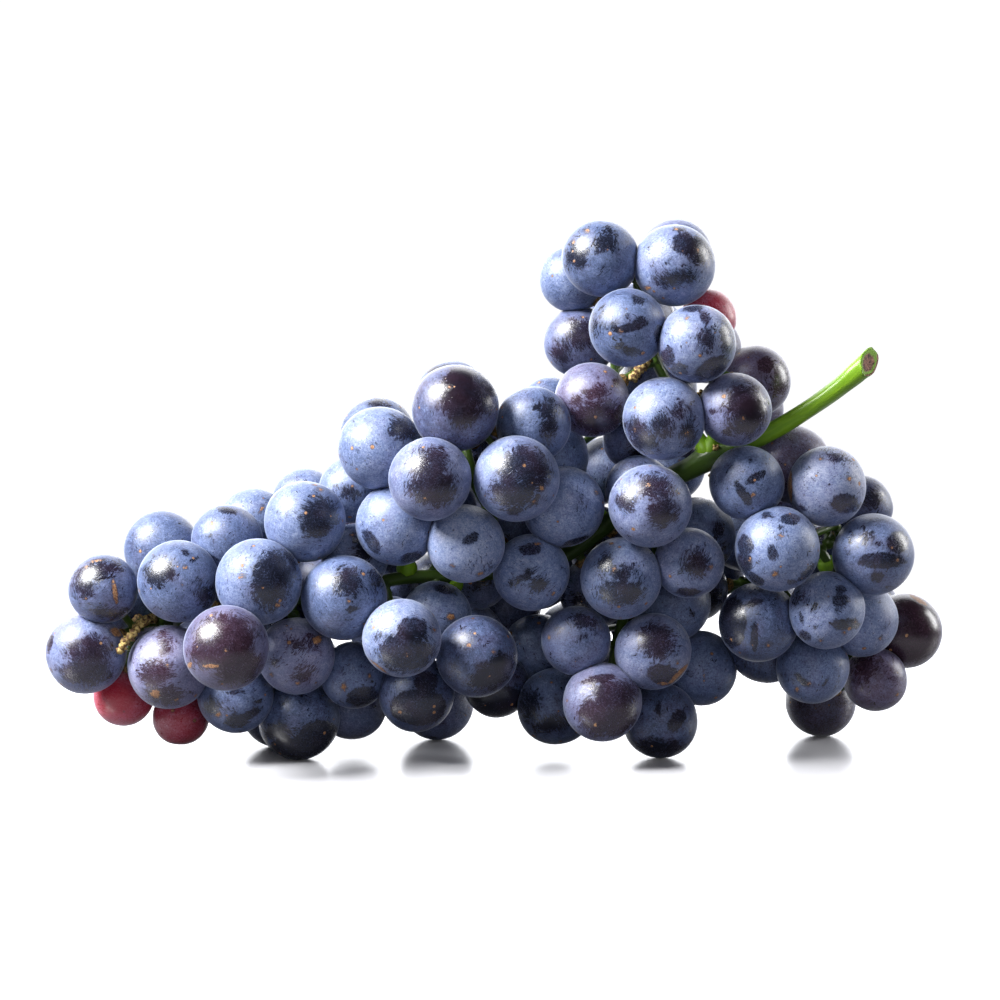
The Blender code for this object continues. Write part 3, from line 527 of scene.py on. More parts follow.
def grow_pedicels(berries):
    """A short stalk to each berry, the shortest first; later ones may leave from earlier ones."""
    centres = np.array([b.centre for b in berries])
    radii = np.array([b.radius for b in berries])
    waiting = set(range(len(berries)))
    best = {}

    def consider(points):
        for i in waiting:
            for start in points:
                away = start - centres[i]
                distance = np.linalg.norm(away)
                length = distance - radii[i]
                if not 1.0 < length < PEDICEL_LONGEST or (i in best and best[i][0] <= length):
                    continue
                end = centres[i] + away / distance * (radii[i] + STALK_GAP)
                if is_clear(start, end, centres, radii, i):
                    best[i] = (length, start, end)

    consider([p for p in skeleton_points() if p[0] < BARE_STALK or p[2] < BARE_HEIGHT])
    pedicels = []
    while True:
        ready = [(best[i][0], i) for i in waiting if i in best]
        if not ready:
            return pedicels
        length, i = min(ready)
        waiting.discard(i)
        _, start, end = best[i]
        pedicels.append((i, start, end))
        count = int(length / STALK_STEP)
        consider([start + (end - start) * k / (count + 1) for k in range(1, count)])


# ---- berries as meshes ------------------------------------------------------------------------
def ball_template(level):
    bm = bmesh.new()
    bmesh.ops.create_icosphere(bm, subdivisions=level, radius=1.0)
    corners = np.array([v.co for v in bm.verts])
    faces = np.array([[v.index for v in f.verts] for f in bm.faces])
    bm.free()
    return corners / np.linalg.norm(corners, axis=1)[:, None], faces


def soft_min(a, b, softness):
    return np.minimum(a, b) - softness * np.log1p(np.exp(-np.abs(a - b) / softness))


def skin_distance(berry, out, contacts):
    """How far the skin lies from the berry's middle in each direction, in millimetres."""
    along = out @ berry.pole
    size = berry.radius + 0.1
    reach = size * (1 + berry.stretch * (along ** 2 - 1 / 3))
    for k, wave in enumerate(berry.swell):
        reach += 0.045 * np.sin(out @ wave * 2.2 + k)
    from_stalk = np.arccos(np.clip(along, -1, 1))
    reach -= 0.5 * np.exp(-(from_stalk / 0.2) ** 2)
    reach += 0.1 * np.exp(-((math.pi - from_stalk) / 0.06) ** 2)
    for direction, height in contacts:
        facing = out @ direction
        limit = np.where(facing > 0.5, height / np.maximum(facing, 0.5), 1e3)
        reach = np.where(facing > 0.5, soft_min(reach, limit, 0.06), reach)
    return reach


def contacts_of(i, centres, radii):
    """Flat places where a berry presses on its neighbours and on what it lies on."""
    away = centres - centres[i]
    distances = np.linalg.norm(away, axis=1)
    found = []
    for j in np.flatnonzero((distances > 0) & (distances < radii[i] + radii + 0.5)):
        d = distances[j]
        height = (d ** 2 + radii[i] ** 2 - radii[j] ** 2) / (2 * d)
        found.append((away[j] / d, height - 0.02))
    if centres[i][2] < radii[i] + 0.6:
        found.append((np.array((0.0, 0.0, -1.0)), centres[i][2] + 0.06))
    return found


def skin_frame(pole):
    """Rows that turn a direction into the berry's own: its third number runs along the stalk."""
    side = np.cross(pole, (0.31, 0.52, 0.79))
    side /= np.linalg.norm(side)
    return np.array([side, np.cross(pole, side), pole])


def add_values(mesh, name, kind, values):
    attribute = mesh.attributes.new(name, kind, "POINT")
    field = "vector" if kind == "FLOAT_VECTOR" else "value"
    attribute.data.foreach_set(field, np.asarray(values, np.float32).ravel())


def grow_berries(name, members, berries, template, centres, radii, material):
    """One piece from the berries of a node."""
    directions, faces = template
    corners, triangles, places = [], [], []
    values = {RUBBED: [], SMEARED: [], CORKY: [], "bloom": [], "plum": []}
    for i in members:
        berry = berries[i]
        reach = skin_distance(berry, directions, contacts_of(i, centres, radii))
        triangles.append(faces + len(directions) * len(corners))
        corners.append(berry.centre + directions * reach[:, None])
        own = directions @ skin_frame(berry.pole).T * berry.radius
        places.append(own + berry.shift)
        values[RUBBED].append(mark_field(berry, directions, RUBBED))
        values[SMEARED].append(mark_field(berry, directions, SMEARED))
        style = 0.45 - np.arccos(np.clip(-(directions @ berry.pole), -1, 1)) * berry.radius
        cork = np.maximum(mark_field(berry, directions, CORKY), np.clip(style, -3, 3))
        values[CORKY].append(cork)
        values["bloom"].append(np.full(len(directions), berry.bloom))
        values["plum"].append(np.full(len(directions), berry.plum))
    mesh = bpy.data.meshes.new(name)
    mesh.from_pydata((np.vstack(corners) * MM).tolist(), [], np.vstack(triangles).tolist())
    add_values(mesh, "on_skin", "FLOAT_VECTOR", np.vstack(places))
    for label, parts in values.items():
        add_values(mesh, label, "FLOAT", np.concatenate(parts))
    mesh.polygons.foreach_set("use_smooth", [True] * len(mesh.polygons))
    mesh.materials.append(material)
    piece = bpy.data.objects.new(name, mesh)
    bpy.context.scene.collection.objects.link(piece)
    return piece


# ---- the stem as a mesh -----------------------------------------------------------------------
def smooth_route(points, radii, step):
    """Points and radii along a smooth curve through the given ones, about a step apart."""
    points = np.array(points, float)
    radii = np.array(radii, float)
    padded = np.vstack([2 * points[0] - points[1], points, 2 * points[-1] - points[-2]])
    route, widths = [], []
    for k in range(len(points) - 1):
        p0, p1, p2, p3 = padded[k:k + 4]
        count = max(1, round(np.linalg.norm(p2 - p1) / step))
        for t in np.arange(count) / count:
            route.append(0.5 * (2 * p1 + (p2 - p0) * t + (2 * p0 - 5 * p1 + 4 * p2 - p3) * t ** 2
                                + (3 * p1 - p0 - 3 * p2 + p3) * t ** 3))
            widths.append(radii[k] + (radii[k + 1] - radii[k]) * (t * t * (3 - 2 * t)))
    route.append(points[-1])
    widths.append(radii[-1])
    return np.array(route), np.array(widths)


class StemMesh:
    """Gathers the tubes of the stem, with a value for each corner that runs from painted shade (a darker
    green, up to about 0.36) to real drying (brown, from about 0.4).
    """

    def __init__(self, rng):
        self.corners = []
        self.dry_and_shade = []
        self.along = []
        self.faces = []
        self.cut_faces = []
        self.rng = rng

    def tube(self, points, radii, sides, ridges=0.04, dry_and_shade=0.0, lumps=0.0):
        count = len(points)
        ways = np.gradient(points, axis=0)
        ways /= np.linalg.norm(ways, axis=1)[:, None]
        side = np.cross(ways[0], (0.2, 0.9, 0.3))
        first = len(self.corners)
        angles = 2 * math.pi * np.arange(sides) / sides
        phases = self.rng.uniform(0, 2 * math.pi, 3)
        lengths = np.concatenate([[0], np.cumsum(np.linalg.norm(np.diff(points, axis=0), axis=1))])
        for k in range(count):
            side = side - ways[k] * (side @ ways[k])
            side /= np.linalg.norm(side)
            other = np.cross(ways[k], side)
            shape = 1 + ridges * np.sin(5 * angles + phases[0] + 0.05 * lengths[k])
            shape += ridges * 0.7 * np.sin(3 * angles + phases[1] + 0.3 * lengths[k])
            shape += lumps * self.rng.uniform(-1, 1, sides)
            outward = np.outer(np.cos(angles), side) + np.outer(np.sin(angles), other)
            self.corners.extend(points[k] + outward * (radii[k] * shape)[:, None])
            value = dry_and_shade[k] if np.ndim(dry_and_shade) else dry_and_shade
            self.dry_and_shade.extend([value] * sides)
            for a in angles:
                self.along.append((math.cos(a) * radii[k], math.sin(a) * radii[k], lengths[k]))
        for k in range(count - 1):
            for s in range(sides):
                a = first + k * sides + s
                b = first + k * sides + (s + 1) % sides
                self.faces.append((a, b, b + sides, a + sides))
        return first, sides, count

    def cap(self, ring, centre, dry_and_shade, rings=4, hollow=0.0, way=None, cut=False):
        """Closes a ring of corners towards a centre, in a few steps."""
        sides = len(ring)
        edge = np.array([self.corners[i] for i in ring])
        last = list(ring)
        for k in range(1, rings):
            t = k / rings
            inner = edge + (centre - edge) * t
            if way is not None:
                inner = inner + way * hollow * math.sin(math.pi * t / 2)
                inner = inner + way * 0.12 * self.rng.uniform(-1, 1, (sides, 1))
            fresh = list(range(len(self.corners), len(self.corners) + sides))
            self.corners.extend(inner)
            self.dry_and_shade.extend([dry_and_shade] * sides)
            self.along.extend([(t, s * 0.3, 0.0) for s in range(sides)])
            for s in range(sides):
                n = (s + 1) % sides
                self.faces.append((last[s], last[n], fresh[n], fresh[s]))
                if cut:
                    self.cut_faces.append(len(self.faces) - 1)
            last = fresh
        self.faces.append(tuple(last))
        if cut:
            self.cut_faces.append(len(self.faces) - 1)


def close_ends(stem, made, points, dry_and_shade):
    first, sides, count = made
    stem.cap(list(range(first + sides - 1, first - 1, -1)), points[0], dry_and_shade, 2)
    stem.cap(list(range(first + (count - 1) * sides, first + count * sides)), points[-1], dry_and_shade, 2)


def grow_stem(pedicels, berries, rng, materials):
    stem = StemMesh(rng)
    points, radii = smooth_route(np.array(MAIN_STALK) + MIDDLE, MAIN_RADII, 0.7)
    # Painted shade: the main stalk turns a darker green left of x = 64 mm, where it runs in among the
    # berries.
    inward = np.clip((64 - points[:, 0]) / 45, 0, 0.34)
    made = stem.tube(points, radii, MAIN_SIDES, 0.035, inward)
    first, sides, count = made
    cut_way = points[0] - points[3]
    cut_way /= np.linalg.norm(cut_way)
    facing = np.array(CUT_FACING) / np.linalg.norm(CUT_FACING)
    for row in range(CUT_ROWS):
        share = 1 - row / CUT_ROWS
        for s in range(row * sides, (row + 1) * sides):
            corner = np.array(stem.corners[first + s])
            lean = (corner - points[row]) @ facing / (cut_way @ facing)
            back = lean + 0.4 + rng.uniform(-0.1, 0.1) * (row == 0)
            stem.corners[first + s] = corner - cut_way * share * back
    ring = list(range(first + sides - 1, first - 1, -1))
    stem.cap(ring, points[0] - cut_way * 0.6, 0.6, 6, -0.35, cut_way, cut=True)
    stem.cap(list(range(first + (count - 1) * sides, first + count * sides)), points[-1], 0.3, 2)
    for route in SIDE_STALKS.values():
        radii = np.linspace(SIDE_RADII[0], SIDE_RADII[1], len(route))
        points, radii = smooth_route(np.array(route) + MIDDLE, radii, 0.8)
        lengths = np.concatenate([[0], np.cumsum(np.linalg.norm(np.diff(points, axis=0), axis=1))])
        radii = radii * (1 + 0.7 * np.exp(-((lengths - 2.0) / 1.8) ** 2))
        # Painted shade: each side stalk turns a darker green further out, among the berries.
        made = stem.tube(points, radii, SIDE_SIDES, 0.05, np.clip(lengths / 40, 0, 0.3), 0.01)
        close_ends(stem, made, points, 0.1)
    for route, radius in WITHERED:
        points, radii = smooth_route(np.array(route) + MIDDLE, [radius] * len(route), 0.3)
        points = points + rng.normal(0, 0.09, points.shape)
        knots = np.sin(2 * math.pi * np.arange(len(points)) * 0.3 / 1.3 + rng.uniform(0, 6))
        radii = radii * (1 + 0.3 * knots + rng.uniform(-0.12, 0.12, len(radii)))
        dry_and_shade = np.clip(np.arange(len(points)) / 8, 0.35, 1.0)
        made = stem.tube(points, radii, PEDICEL_SIDES, 0.1, dry_and_shade, 0.16)
        close_ends(stem, made, points, 1.0)
    for i, start, end in pedicels:
        centre = berries[i].centre
        way = centre - end
        way /= np.linalg.norm(way)
        tip = end + way * (STALK_GAP + 0.75)
        length = np.linalg.norm(tip - start)
        bend = np.cross(way, rng.normal(size=3))
        t = np.linspace(0, 1, max(9, int(length / 0.7)))
        sag = (0.05 * length * t * (1 - t))[:, None]
        points = start + (tip - start) * t[:, None] + bend * sag
        along = t * length
        cup = 0.95 * np.exp(-((along - length + 1.0) / 0.85) ** 2)
        radii = 0.78 + 0.7 * np.exp(-(along / 0.9) ** 2) + cup
        # Painted shade and real drying: each short stalk is a darker green all along (0.3) for the shade
        # among the berries, and browns towards the berry's cup.
        dry_and_shade = 0.3 + 0.5 * np.exp(-((along - length + 1.2) / 1.1) ** 2)
        made = stem.tube(points, radii, PEDICEL_SIDES, 0.05, dry_and_shade, 0.05)
        close_ends(stem, made, points, 0.5)
    mesh = bpy.data.meshes.new("grape_stem")
    mesh.from_pydata((np.array(stem.corners) * MM).tolist(), [], stem.faces)
    add_values(mesh, "dry_and_shade", "FLOAT", stem.dry_and_shade)
    add_values(mesh, "on_stalk", "FLOAT_VECTOR", np.array(stem.along))
    mesh.polygons.foreach_set("use_smooth", [True] * len(mesh.polygons))
    for material in materials:
        mesh.materials.append(material)
    for k in stem.cut_faces:
        mesh.polygons[k].material_index = 1
    piece = bpy.data.objects.new("grape_stem", mesh)
    bpy.context.scene.collection.objects.link(piece)
    return piece


# ---- shader nodes -----------------------------------------------------------------------------
class Tree:
    """Adds nodes to a shader tree; an input is a number, a colour or another node's output."""

    def __init__(self, tree):
        self.tree = tree

    def put(self, value, socket):
        if isinstance(value, bpy.types.NodeSocket):
            self.tree.links.new(value, socket)
        else:
            socket.default_value = value

    def node(self, kind, inputs=None, **settings):
        node = self.tree.nodes.new(kind)
        for name, value in settings.items():
            setattr(node, name, value)
        for name, value in (inputs or {}).items():
            self.put(value, node.inputs[name])
        return node

    def math(self, operation, a, b=0.0, c=0.0, clamp=False):
        node = self.node("ShaderNodeMath", {0: a, 1: b, 2: c}, operation=operation, use_clamp=clamp)
        return node.outputs[0]

    def step(self, value, low, high):
        node = self.node("ShaderNodeMapRange", {"Value": value, "From Min": low, "From Max": high},
                         interpolation_type="SMOOTHSTEP")
        return node.outputs["Result"]

    def spread(self, value, low, high, to_low, to_high):
        node = self.node("ShaderNodeMapRange", {"Value": value, "From Min": low, "From Max": high,
                                                "To Min": to_low, "To Max": to_high})
        return node.outputs["Result"]

    def stretch(self, vector, scale):
        node = self.node("ShaderNodeMapping", {"Vector": vector, "Scale": scale})
        return node.outputs["Vector"]

    def noise(self, vector, scale, detail=4.0, roughness=0.55, distortion=0.0):
        node = self.node("ShaderNodeTexNoise", {"Vector": vector, "Scale": scale, "Detail": detail,
                                                "Roughness": roughness, "Distortion": distortion})
        return node.outputs["Fac"]

    def cells(self, vector, scale, feature="F1"):
        node = self.node("ShaderNodeTexVoronoi", {"Vector": vector, "Scale": scale}, feature=feature)
        return node

    def mix(self, amount, a, b, blend="MIX"):
        node = self.node("ShaderNodeMix", data_type="RGBA", blend_type=blend)
        self.put(amount, node.inputs[0])
        self.put(a, node.inputs[6])
        self.put(b, node.inputs[7])
        return node.outputs[2]

    def ramp(self, value, colours):
        """A colour from a row of (position, colour)."""
        node = self.node("ShaderNodeValToRGB", {"Fac": value})
        steps = node.color_ramp.elements
        for k, (position, colour) in enumerate(colours):
            step = steps[k] if k < 2 else steps.new(position)
            step.position = position
            step.color = (*colour, 1.0)
        return node.outputs["Color"]

    def group(self, group, inputs):
        node = self.node("ShaderNodeGroup", node_tree=group)
        for name, value in inputs.items():
            self.put(value, node.inputs[name])
        return node.outputs

    def attribute(self, name, output="Fac"):
        return self.node("ShaderNodeAttribute", attribute_name=name).outputs[output]

    def times(self, a, b):
        return self.math("MULTIPLY", a, b)

    def rest(self, value):
        return self.math("SUBTRACT", 1.0, value)

    def sum(self, first, *others):
        for other in others:
            first = self.math("ADD", first, other)
        return first

    def bump(self, height, strength, distance, socket):
        node = self.node("ShaderNodeBump", {"Height": height, "Strength": strength, "Distance": distance})
        self.put(node.outputs["Normal"], socket)


FLOAT, VECTOR = "NodeSocketFloat", "NodeSocketVector"


def new_material(name):
    material = bpy.data.materials.new(name)
    material.use_nodes = True
    return material, Tree(material.node_tree), material.node_tree.nodes["Principled BSDF"].inputs


def new_group(name, inputs, outputs):
    group = bpy.data.node_groups.new(name, "ShaderNodeTree")
    for label, kind in inputs:
        group.interface.new_socket(label, in_out="INPUT", socket_type=kind)
    for label, kind in outputs:
        group.interface.new_socket(label, in_out="OUTPUT", socket_type=kind)
    tree = Tree(group)
    return group, tree, tree.node("NodeGroupInput").outputs, tree.node("NodeGroupOutput").inputs


def make_bloom_group():
    """The wax on a berry: how much of it covers the skin, and its fine grain."""
    inputs = [("Place", VECTOR), ("Rubbed", FLOAT), ("Smeared", FLOAT), ("Thickness", FLOAT)]
    group, t, given, out = new_group("bloom", inputs, [("Cover", FLOAT), ("Grain", FLOAT)])
    place = given["Place"]
    broad = t.noise(place, 0.16, 2.0)
    edge = t.noise(place, 0.75, 6.0, 0.68)
    fine = t.noise(place, 2.6, 5.0, 0.75)
    hatch = t.noise(t.stretch(place, (0.7, 0.7, 3.6)), 1.0, 4.0, 0.7, 0.9)
    swipe = t.noise(t.stretch(place, (3.0, 0.7, 0.8)), 1.0, 4.0, 0.7, 1.0)
    strokes = t.mix(t.step(broad, 0.42, 0.58), hatch, swipe)
    ragged = t.sum(t.spread(edge, 0, 1, -1.3, 1.3), t.spread(fine, 0, 1, -0.9, 0.9),
                   t.spread(strokes, 0.25, 0.75, -0.7, 0.7))
    bare = t.step(t.math("ADD", given["Rubbed"], ragged), -0.1, 0.25)
    outline = t.noise(place, 0.33, 3.0, 0.6)
    worn = t.sum(t.spread(given["Smeared"], -2.0, 2.0, -0.85, 0.95),
                 t.spread(strokes, 0.25, 0.75, -1.5, 1.5),
                 t.spread(fine, 0.25, 0.75, -0.8, 0.8), t.spread(outline, 0.2, 0.8, -0.6, 0.6))
    film = t.sum(t.spread(strokes, 0.3, 0.7, 0.22, -0.22), t.spread(fine, 0.3, 0.7, 0.16, -0.16))
    worn = t.math("MULTIPLY", t.step(worn, -0.2, 0.35), t.math("ADD", film, 0.80), clamp=True)
    thin = t.sum(given["Thickness"], t.spread(broad, 0.2, 0.8, -0.14, 0.14),
                 t.spread(edge, 0.25, 0.75, -0.22, 0.22), t.spread(fine, 0.25, 0.75, -0.42, 0.42),
                 t.spread(strokes, 0.25, 0.75, -0.2, 0.2))
    patchy = t.sum(t.spread(outline, 0.3, 0.7, -0.5, 0.5), t.spread(strokes, 0.3, 0.7, -0.6, 0.6),
                   t.spread(fine, 0.3, 0.7, -0.35, 0.35))
    thin = t.math("SUBTRACT", thin, t.times(t.step(patchy, 0.25, 0.95), 0.36))
    line = t.math("ABSOLUTE", t.math("SUBTRACT", t.noise(place, 0.42, 2.5, 0.5, 0.4), 0.5))
    line = t.rest(t.step(line, 0.002, 0.012))
    line = t.times(line, t.step(outline, 0.55, 0.66))
    thin = t.math("SUBTRACT", thin, t.times(line, 0.5))
    nick = t.times(t.step(strokes, 0.57, 0.61), t.step(edge, 0.46, 0.54))
    thin = t.math("SUBTRACT", thin, t.times(nick, 0.6))
    kept = t.rest(t.times(bare, t.spread(fine, 0.3, 0.7, 0.92, 0.52)))
    cover = t.times(thin, kept)
    cover = t.times(cover, t.rest(worn))
    t.put(t.math("MULTIPLY", cover, 0.8, clamp=True), out["Cover"])
    t.put(t.math("ADD", t.times(fine, 0.35), cover), out["Grain"])
    return group


def make_cork_group():
    """Corky specks and scars: where they are, the dark ring round each, and pin dots."""
    inputs = [("Place", VECTOR), ("Corky", FLOAT)]
    group, t, given, out = new_group("cork", inputs, [("Cork", FLOAT), ("Ring", FLOAT), ("Tone", FLOAT)])
    place = given["Place"]
    wobble = t.noise(place, 2.2, 3.0)
    crowd = t.spread(t.noise(place, 0.14, 2.0), 0.3, 0.7, -0.07, 0.03)

    def dots(scale, share, most):
        cells = t.cells(place, scale)
        chance = t.node("ShaderNodeSeparateColor", {"Color": cells.outputs["Color"]}).outputs["Red"]
        size = t.spread(chance, share, 1.0, 0.0, most)
        away = t.math("ADD", cells.outputs["Distance"], t.spread(wobble, 0, 1, -0.03, 0.03))
        return t.math("ADD", t.math("SUBTRACT", size, away), crowd)

    speck = dots(0.40, 0.45, 0.19)
    pin = dots(0.85, 0.15, 0.17)
    scar = t.math("ADD", given["Corky"], t.spread(t.noise(place, 1.6, 4.0, 0.7), 0, 1, -0.8, 0.8))
    t.put(t.math("MAXIMUM", t.step(speck, 0.0, 0.03), t.step(scar, 0.0, 0.15)), out["Cork"])
    ring = t.math("MAXIMUM", t.step(speck, -0.07, 0.0), t.step(scar, -0.5, -0.05))
    t.put(t.math("MAXIMUM", ring, t.step(pin, -0.01, 0.03)), out["Ring"])
    t.put(t.noise(place, 3.1, 3.0), out["Tone"])
    return group


def skin_material(name, groups, colours, plums, shine):
    """Skin under its bloom, with a painted rim highlight round its edges. The colours run from bare skin to
    the thickest bloom.
    """
    bloom_group, cork_group = groups
    material, t, shader = new_material(name)
    place = t.attribute("on_skin", "Vector")
    bloom = t.group(bloom_group, {"Place": place, "Rubbed": t.attribute("rubbed"),
                                  "Smeared": t.attribute("smeared"), "Thickness": t.attribute("bloom")})
    cork = t.group(cork_group, {"Place": place, "Corky": t.attribute("corky")})
    blue = t.ramp(bloom["Cover"], colours)
    red = t.ramp(bloom["Cover"], plums)
    plum = t.spread(t.noise(place, 0.22, 3.0), 0.2, 0.8, -0.3, 0.3)
    plum = t.math("ADD", t.attribute("plum"), plum, clamp=True)
    colour = t.mix(plum, blue, red)
    colour = t.mix(t.times(cork["Ring"], 0.6), colour, (0.03, 0.022, 0.03, 1))
    tan = t.mix(t.step(cork["Tone"], 0.35, 0.65), (0.15, 0.055, 0.022, 1), (0.50, 0.27, 0.13, 1))
    colour = t.mix(cork["Cork"], colour, tan)
    # Painted rim highlight: the base colour turns pale blue where the skin turns away from the view,
    # standing in for the bright edges that reflected light gives.
    facing = t.node("ShaderNodeLayerWeight", {"Blend": 0.5}).outputs["Facing"]
    colour = t.mix(t.times(t.step(facing, 0.70, 0.97), 0.5), colour, (0.50, 0.57, 0.74, 1))
    t.put(colour, shader["Base Color"])
    rough = t.spread(bloom["Cover"], 0.0, 0.64, shine, 0.44)
    rough = t.math("ADD", rough, t.times(cork["Cork"], 0.3), clamp=True)
    t.put(rough, shader["Roughness"])
    t.put(t.spread(bloom["Cover"], 0.08, 0.7, 0.35, 0.05), shader["Coat Weight"])
    shader["Coat Roughness"].default_value = 0.27
    height = t.sum(bloom["Grain"], t.times(cork["Cork"], 2.0),
                   t.times(cork["Ring"], -1.0))
    t.bump(height, 0.3, 0.00012, shader["Normal"])
    shader["IOR"].default_value = 1.5
    shader["Specular IOR Level"].default_value = 0.65
    shader["Sheen Weight"].default_value = 0.06
    shader["Sheen Roughness"].default_value = 0.3
    shader["Sheen Tint"].default_value = (0.82, 0.87, 1.0, 1.0)
    return material, shader


def stalk_material():
    material, t, shader = new_material("green_stalk")
    place = t.attribute("on_stalk", "Vector")
    dry_and_shade = t.attribute("dry_and_shade")
    streaks = t.noise(t.stretch(place, (1.6, 1.6, 0.18)), 1.0, 4.0, 0.6)
    blotch = t.noise(t.stretch(place, (0.5, 0.5, 0.2)), 1.0, 3.0)
    green = t.mix(streaks, (0.080, 0.22, 0.007, 1), (0.26, 0.45, 0.016, 1))
    green = t.mix(t.step(blotch, 0.66, 0.8), green, (0.22, 0.19, 0.04, 1))
    # Painted shade: low values darken the green for the shade inside the bunch; higher values below turn the
    # stalk brown with real drying.
    green = t.mix(t.step(dry_and_shade, 0.0, 0.36), green, (0.036, 0.072, 0.008, 1))
    crust = t.step(t.noise(place, 1.6, 5.0, 0.7), 0.35, 0.65)
    brown = t.mix(crust, (0.035, 0.018, 0.008, 1), (0.36, 0.22, 0.075, 1))
    worn = t.sum(dry_and_shade, t.spread(t.noise(place, 1.1, 5.0, 0.7), 0, 1, -0.3, 0.3))
    worn = t.step(worn, 0.4, 0.7)
    wart = t.step(t.noise(place, 1.3, 4.0, 0.6), 0.42, 0.6)
    wart = t.mix(wart, (0.10, 0.045, 0.015, 1), (0.52, 0.38, 0.13, 1))
    brown = t.mix(t.step(dry_and_shade, 0.85, 0.98), brown, wart)
    t.put(t.mix(worn, green, brown), shader["Base Color"])
    t.put(t.spread(worn, 0, 1, 0.38, 0.75), shader["Roughness"])
    rough = t.times(t.noise(place, 2.2, 5.0, 0.7), t.spread(worn, 0, 1, 0.2, 2.0))
    t.bump(t.sum(streaks, rough), 0.5, 0.0002, shader["Normal"])
    return material


def cut_material():
    material, t, shader = new_material("cut_end")
    place = t.attribute("on_stalk", "Vector")
    fibres = t.noise(t.stretch(place, (3.0, 3.0, 3.0)), 1.0, 4.0, 0.7)
    inward = t.node("ShaderNodeSeparateXYZ", {"Vector": place}).outputs["X"]
    inward = t.math("ADD", inward, t.spread(t.noise(place, 1.7, 3.0), 0, 1, -0.25, 0.25))
    scar = t.mix(t.step(fibres, 0.4, 0.62), (0.055, 0.018, 0.012, 1), (0.42, 0.20, 0.13, 1))
    t.put(t.mix(t.step(inward, 0.28, 0.42), (0.20, 0.38, 0.03, 1), scar), shader["Base Color"])
    shader["Roughness"].default_value = 0.7
    t.bump(fibres, 0.6, 0.0003, shader["Normal"])
    return material


# ---- floor, light and camera ------------------------------------------------------------------
def floor_material():
    """Pale and a little glossy, and gone well before its edge, so that no horizon shows. To glossy rays it
    glows in a ring round the bunch: a painted reflection on the berries, not a lamp.
    """
    material, t, shader = new_material("pale_floor")
    ray = t.node("ShaderNodeLightPath").outputs
    bounce = t.math("MAXIMUM", ray["Is Diffuse Ray"], t.times(ray["Is Glossy Ray"], 0.85))
    t.put(t.mix(bounce, (0.70, 0.70, 0.73, 1), (0.05, 0.05, 0.07, 1)), shader["Base Color"])
    shader["Roughness"].default_value = 0.2
    place = t.node("ShaderNodeTexCoord").outputs["Object"]
    out = t.node("ShaderNodeVectorMath", {0: place}, operation="LENGTH").outputs["Value"]
    # Painted reflection: a glowing ring on the floor, seen only in reflections, that greys the lower halves
    # of the berries.
    painted_glow = t.times(t.step(out, 0.05, 0.15), t.rest(t.step(out, 0.10, 0.38)))
    painted_glow = t.times(painted_glow, ray["Is Glossy Ray"])
    shader["Emission Color"].default_value = (1, 1, 1, 1)
    t.put(t.times(painted_glow, 0.3), shader["Emission Strength"])
    shown = t.rest(t.step(out, FLOOR_FADE[0], FLOOR_FADE[1]))
    mirrored = t.rest(t.step(out, 0.06, 0.34))
    gone = t.times(ray["Is Glossy Ray"], t.rest(mirrored))
    t.put(t.times(shown, t.rest(gone)), shader["Alpha"])
    return material


def add_light(name, place, aim, size, power, shape="DISK", size_y=None):
    light = bpy.data.lights.new(name, "AREA")
    light.shape = shape
    light.size = size
    if size_y:
        light.size_y = size_y
    light.energy = power
    lamp = bpy.data.objects.new(name, light)
    lamp.location = place
    lamp.rotation_euler = (Vector(aim) - Vector(place)).to_track_quat("-Z", "Y").to_euler()
    lamp.visible_camera = False
    bpy.context.scene.collection.objects.link(lamp)
    return lamp


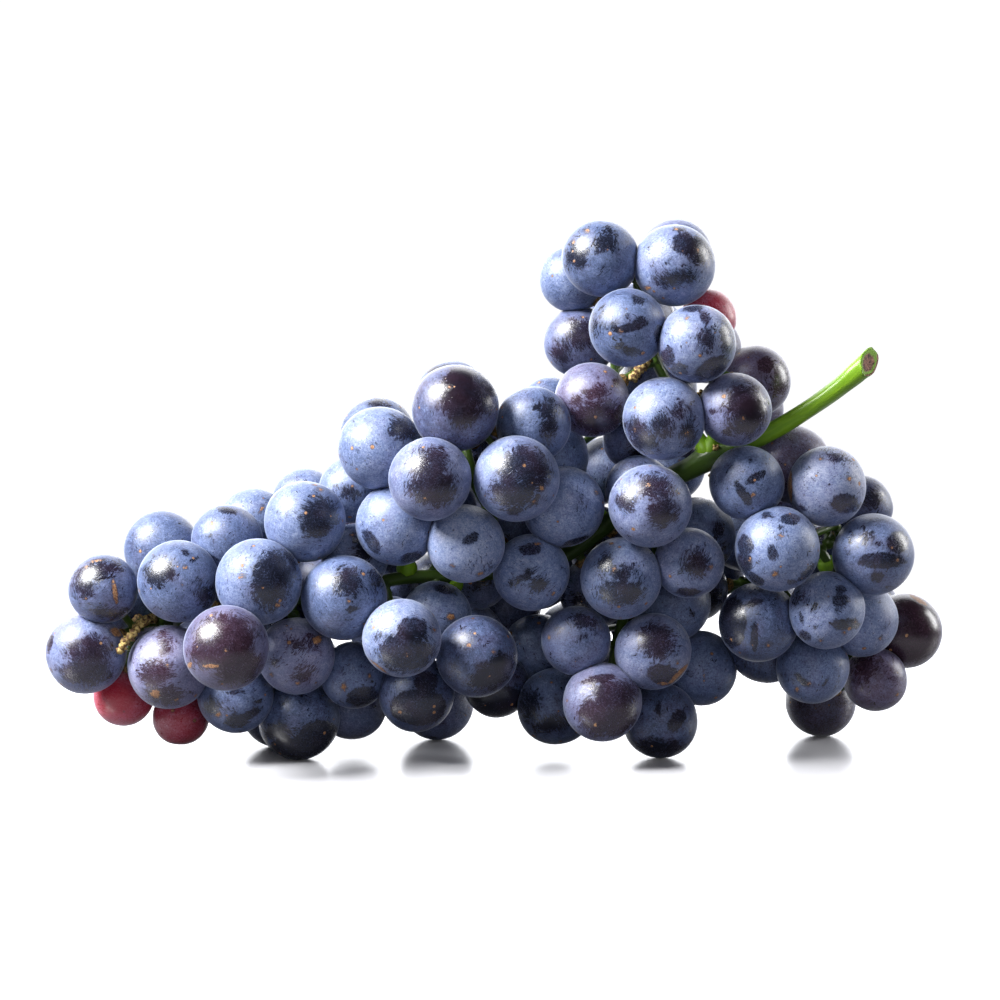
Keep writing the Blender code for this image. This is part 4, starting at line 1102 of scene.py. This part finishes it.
def set_scene(floor_height):
    scene = bpy.context.scene
    mesh = bpy.data.meshes.new("floor")
    mesh.from_pydata([(-1, -1, 0), (1, -1, 0), (1, 1, 0), (-1, 1, 0)], [], [(0, 1, 2, 3)])
    mesh.materials.append(floor_material())
    floor = bpy.data.objects.new("floor", mesh)
    floor.location.z = floor_height
    scene.collection.objects.link(floor)
    floor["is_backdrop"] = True
    aim = Vector((0.0, 0.0, 0.055))
    add_light("key_light", aim + Vector((-0.70, -0.30, 0.65)) * 0.95, aim, 0.5, 36.0)
    add_light("side_light", aim + Vector((0.9, 0.247, 0.287)) * 0.9, aim, 0.22, 5.0, "RECTANGLE", 0.5)
    fill = add_light("front_fill", aim + Vector((0.2, -0.9, 0.22)) * 1.2, aim, 1.0, 5.0, "RECTANGLE", 0.8)
    fill.visible_glossy = False
    add_light("back_light", aim + Vector((0.0, 0.9, 0.4)), aim, 1.8, 12.0, "RECTANGLE", 1.0)
    world = bpy.data.worlds.new("studio")
    scene.world = world
    world.use_nodes = True
    t = Tree(world.node_tree)
    background = world.node_tree.nodes["Background"]
    ray = t.node("ShaderNodeLightPath").outputs
    t.put(t.mix(ray["Is Camera Ray"], (0.86, 0.89, 1.0, 1), (1, 1, 1, 1)), background.inputs["Color"])
    around = t.node("ShaderNodeTexCoord").outputs["Generated"]
    way = t.node("ShaderNodeSeparateXYZ", {"Vector": around}).outputs["Y"]
    backdrop = t.times(t.step(way, 0.35, 0.85), t.times(ray["Is Glossy Ray"], 1.1))
    other = t.math("MAXIMUM", backdrop, 0.03)
    seen = t.times(ray["Is Camera Ray"], 1.05)
    t.put(t.math("MAXIMUM", seen, other), background.inputs["Strength"])
    camera_data = bpy.data.cameras.new("view")
    camera_data.lens = LENS
    camera = bpy.data.objects.new("view", camera_data)
    camera.location = VIEW_POINT + VIEW_WAY * VIEW_DISTANCE
    camera.rotation_euler = (math.pi / 2 - VIEW_ELEVATION, 0.0, 0.0)
    scene.collection.objects.link(camera)
    scene.camera = camera
    scene.view_settings.view_transform = "Standard"


def build():
    rng = np.random.default_rng(SEED)
    berries = all_berries(rng)
    mark_berries(berries, rng)
    pedicels = grow_pedicels(berries)
    for i, start, _end in pedicels:
        way = start - berries[i].centre
        berries[i].pole = way / np.linalg.norm(way)
    centres = np.array([b.centre for b in berries])
    radii = np.array([b.radius + 0.1 for b in berries])
    groups = (make_bloom_group(), make_cork_group())
    grape, _ = skin_material("grape_skin", groups, RIPE_BLUE, RIPE_PLUM, 0.19)
    unripe, shader = skin_material("unripe_skin", groups, UNRIPE_RED, UNRIPE_DARK, 0.25)
    shader["Subsurface Weight"].default_value = 0.4
    shader["Subsurface Radius"].default_value = (0.004, 0.001, 0.001)
    shader["Subsurface Scale"].default_value = 1.0
    template = ball_template(BALL_LEVEL)
    members = {}
    for i, berry in enumerate(berries):
        members.setdefault(berry.node, []).append(i)
    for node, chosen in members.items():
        skin = unripe if node.startswith("unripe") else grape
        name = node.replace("grapes", "berries")
        piece = grow_berries(name, chosen, berries, template, centres, radii, skin)
        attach(piece, "root")
        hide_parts(node)
    stem = grow_stem(pedicels, berries, rng, (stalk_material(), cut_material()))
    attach(stem, "root")
    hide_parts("stem")
    set_scene(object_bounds()[0].z)


build()
